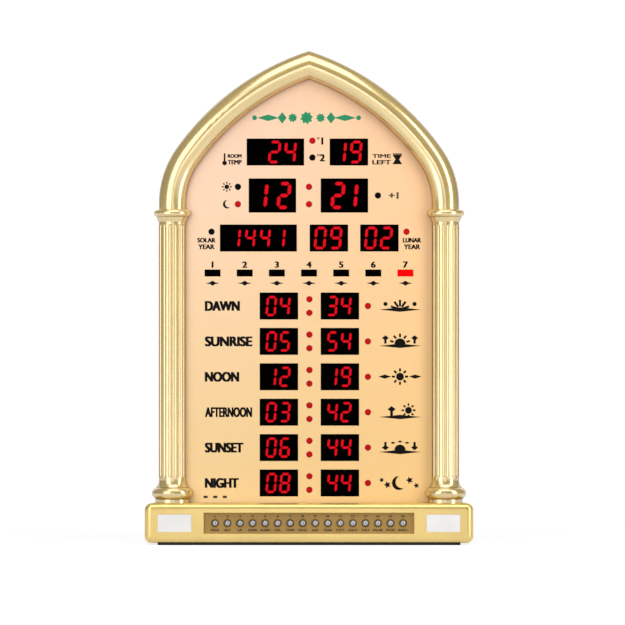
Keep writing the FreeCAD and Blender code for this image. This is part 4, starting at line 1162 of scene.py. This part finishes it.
@dataclass
class Studio:
    """The white floor and backdrop, the lamps and the camera."""

    picture: float = 0.625
    centre: tuple[float, float] = (0.0035, 0.232)
    distance: float = 6.0
    sensor: float = 36.0
    room: float = 0.30
    floor: float = 8.0
    glow: float = 0.80
    fade: tuple[float, float] = (0.3, 1.6)
    bend: float = 1.0
    bend_steps: int = 16
    softboxes: tuple[Softbox, ...] = (
        Softbox("left_softbox", (-0.62, -0.85, 0.30), (0.62, 1.4), 2.4),
        Softbox("right_softbox", (0.66, -0.42, 0.30), (0.24, 1.4), 4.4),
        Softbox("top_softbox", (0.0, -0.55, 1.35), (1.2, 0.9), 2.4),
        Softbox("front_softbox", (0.0, -1.6, 0.20), (0.34, 0.60), 1.5),
    )

    def white(self, name: str) -> bpy.types.Material:
        """White that the camera and reflections see as white, and that keeps its shadows.

        Args:
            name: The material's name.

        Returns:
            The finished material.
        """
        shader = Shader(name)
        away = shader.add("ShaderNodeVectorMath", operation="LENGTH")
        shader.link(shader.place, away.inputs[0])
        path = shader.add("ShaderNodeLightPath")
        seen = shader.math("MAXIMUM", path.outputs["Is Camera Ray"], path.outputs["Is Glossy Ray"])
        seen = shader.math("MAXIMUM", seen, path.outputs["Is Transmission Ray"])
        return shader.surface(
            Base_Color=shader.mix(shader.noise(0.5), (0.31, 0.31, 0.31), (0.33, 0.33, 0.33)),
            Roughness=0.7,
            Specular_IOR_Level=0.2,
            Emission_Color=(1.0, 1.0, 1.0),
            Emission_Strength=shader.math(
                "MULTIPLY", seen, shader.span(away.outputs["Value"], *self.fade, self.glow, 1.0)),
        )

    def sweep(self) -> None:
        """A floor that curves up into a backdrop."""
        mesh = bmesh.new()
        edge = bmesh.ops.create_grid(mesh, x_segments=1, y_segments=1, size=self.floor)
        bmesh.ops.translate(mesh, vec=(0, -self.bend, 0), verts=edge["verts"])
        start = self.floor - self.bend
        back = [e for e in mesh.edges if all(v.co.y > 0 for v in e.verts)]
        bmesh.ops.spin(mesh, geom=back, cent=(0, start, self.bend), axis=(1, 0, 0), angle=math.pi / 2,
                       steps=self.bend_steps)
        wall = self.floor - MM
        top = [e for e in mesh.edges if e.is_boundary and all(v.co.y > wall for v in e.verts)]
        rise = bmesh.ops.extrude_edge_only(mesh, edges=top)
        moved = [item for item in rise["geom"] if isinstance(item, bmesh.types.BMVert)]
        bmesh.ops.translate(mesh, vec=(0, 0, self.floor), verts=moved)
        data = bpy.data.meshes.new("sweep")
        mesh.to_mesh(data)
        mesh.free()
        data.materials.append(self.white("backdrop_white"))
        floor = bpy.data.objects.new("sweep", data)
        bpy.context.scene.collection.objects.link(floor)
        floor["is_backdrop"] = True

    def world(self) -> None:
        """An even pale room, white where the camera sees it."""
        world = bpy.data.worlds.new("room")
        world.use_nodes = True
        nodes = world.node_tree.nodes
        links = world.node_tree.links
        path = nodes.new("ShaderNodeLightPath")
        strength = nodes.new("ShaderNodeMapRange")
        strength.inputs["To Min"].default_value = self.room
        strength.inputs["To Max"].default_value = 1.0
        links.new(path.outputs["Is Camera Ray"], strength.inputs["Value"])
        background = nodes["Background"]
        background.inputs["Color"].default_value = (1, 1, 1, 1)
        links.new(strength.outputs["Result"], background.inputs["Strength"])
        bpy.context.scene.world = world

    def camera(self) -> None:
        """Looks straight at the face from far off, framed as the picture is."""
        data = bpy.data.cameras.new("camera")
        data.sensor_width = self.sensor
        data.lens = self.sensor * self.distance / self.picture
        data.clip_end = 50
        holder = bpy.data.objects.new("camera", data)
        bpy.context.scene.collection.objects.link(holder)
        x, z = self.centre
        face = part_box("face_panel")[0].y
        turn = Matrix.Rotation(math.pi / 2, 4, "X")
        holder.matrix_world = Matrix.Translation((x, face - self.distance, z)) @ turn
        bpy.context.scene.camera = holder

    def build(self) -> None:
        """Sets the whole studio."""
        self.camera()
        self.sweep()
        self.world()
        low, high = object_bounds()
        centre = (Vector(low) + Vector(high)) / 2
        for softbox in self.softboxes:
            softbox.hang(centre)
        bpy.context.scene.view_settings.view_transform = "Standard"


def main() -> None:
    """Builds the clock's looks in order."""
    logging.basicConfig(level=logging.INFO)
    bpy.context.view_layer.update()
    CaseWork().dress()
    FacePrint().build()
    KeyPrint().build()
    Studio().build()


if __name__ == "__main__":
    main()
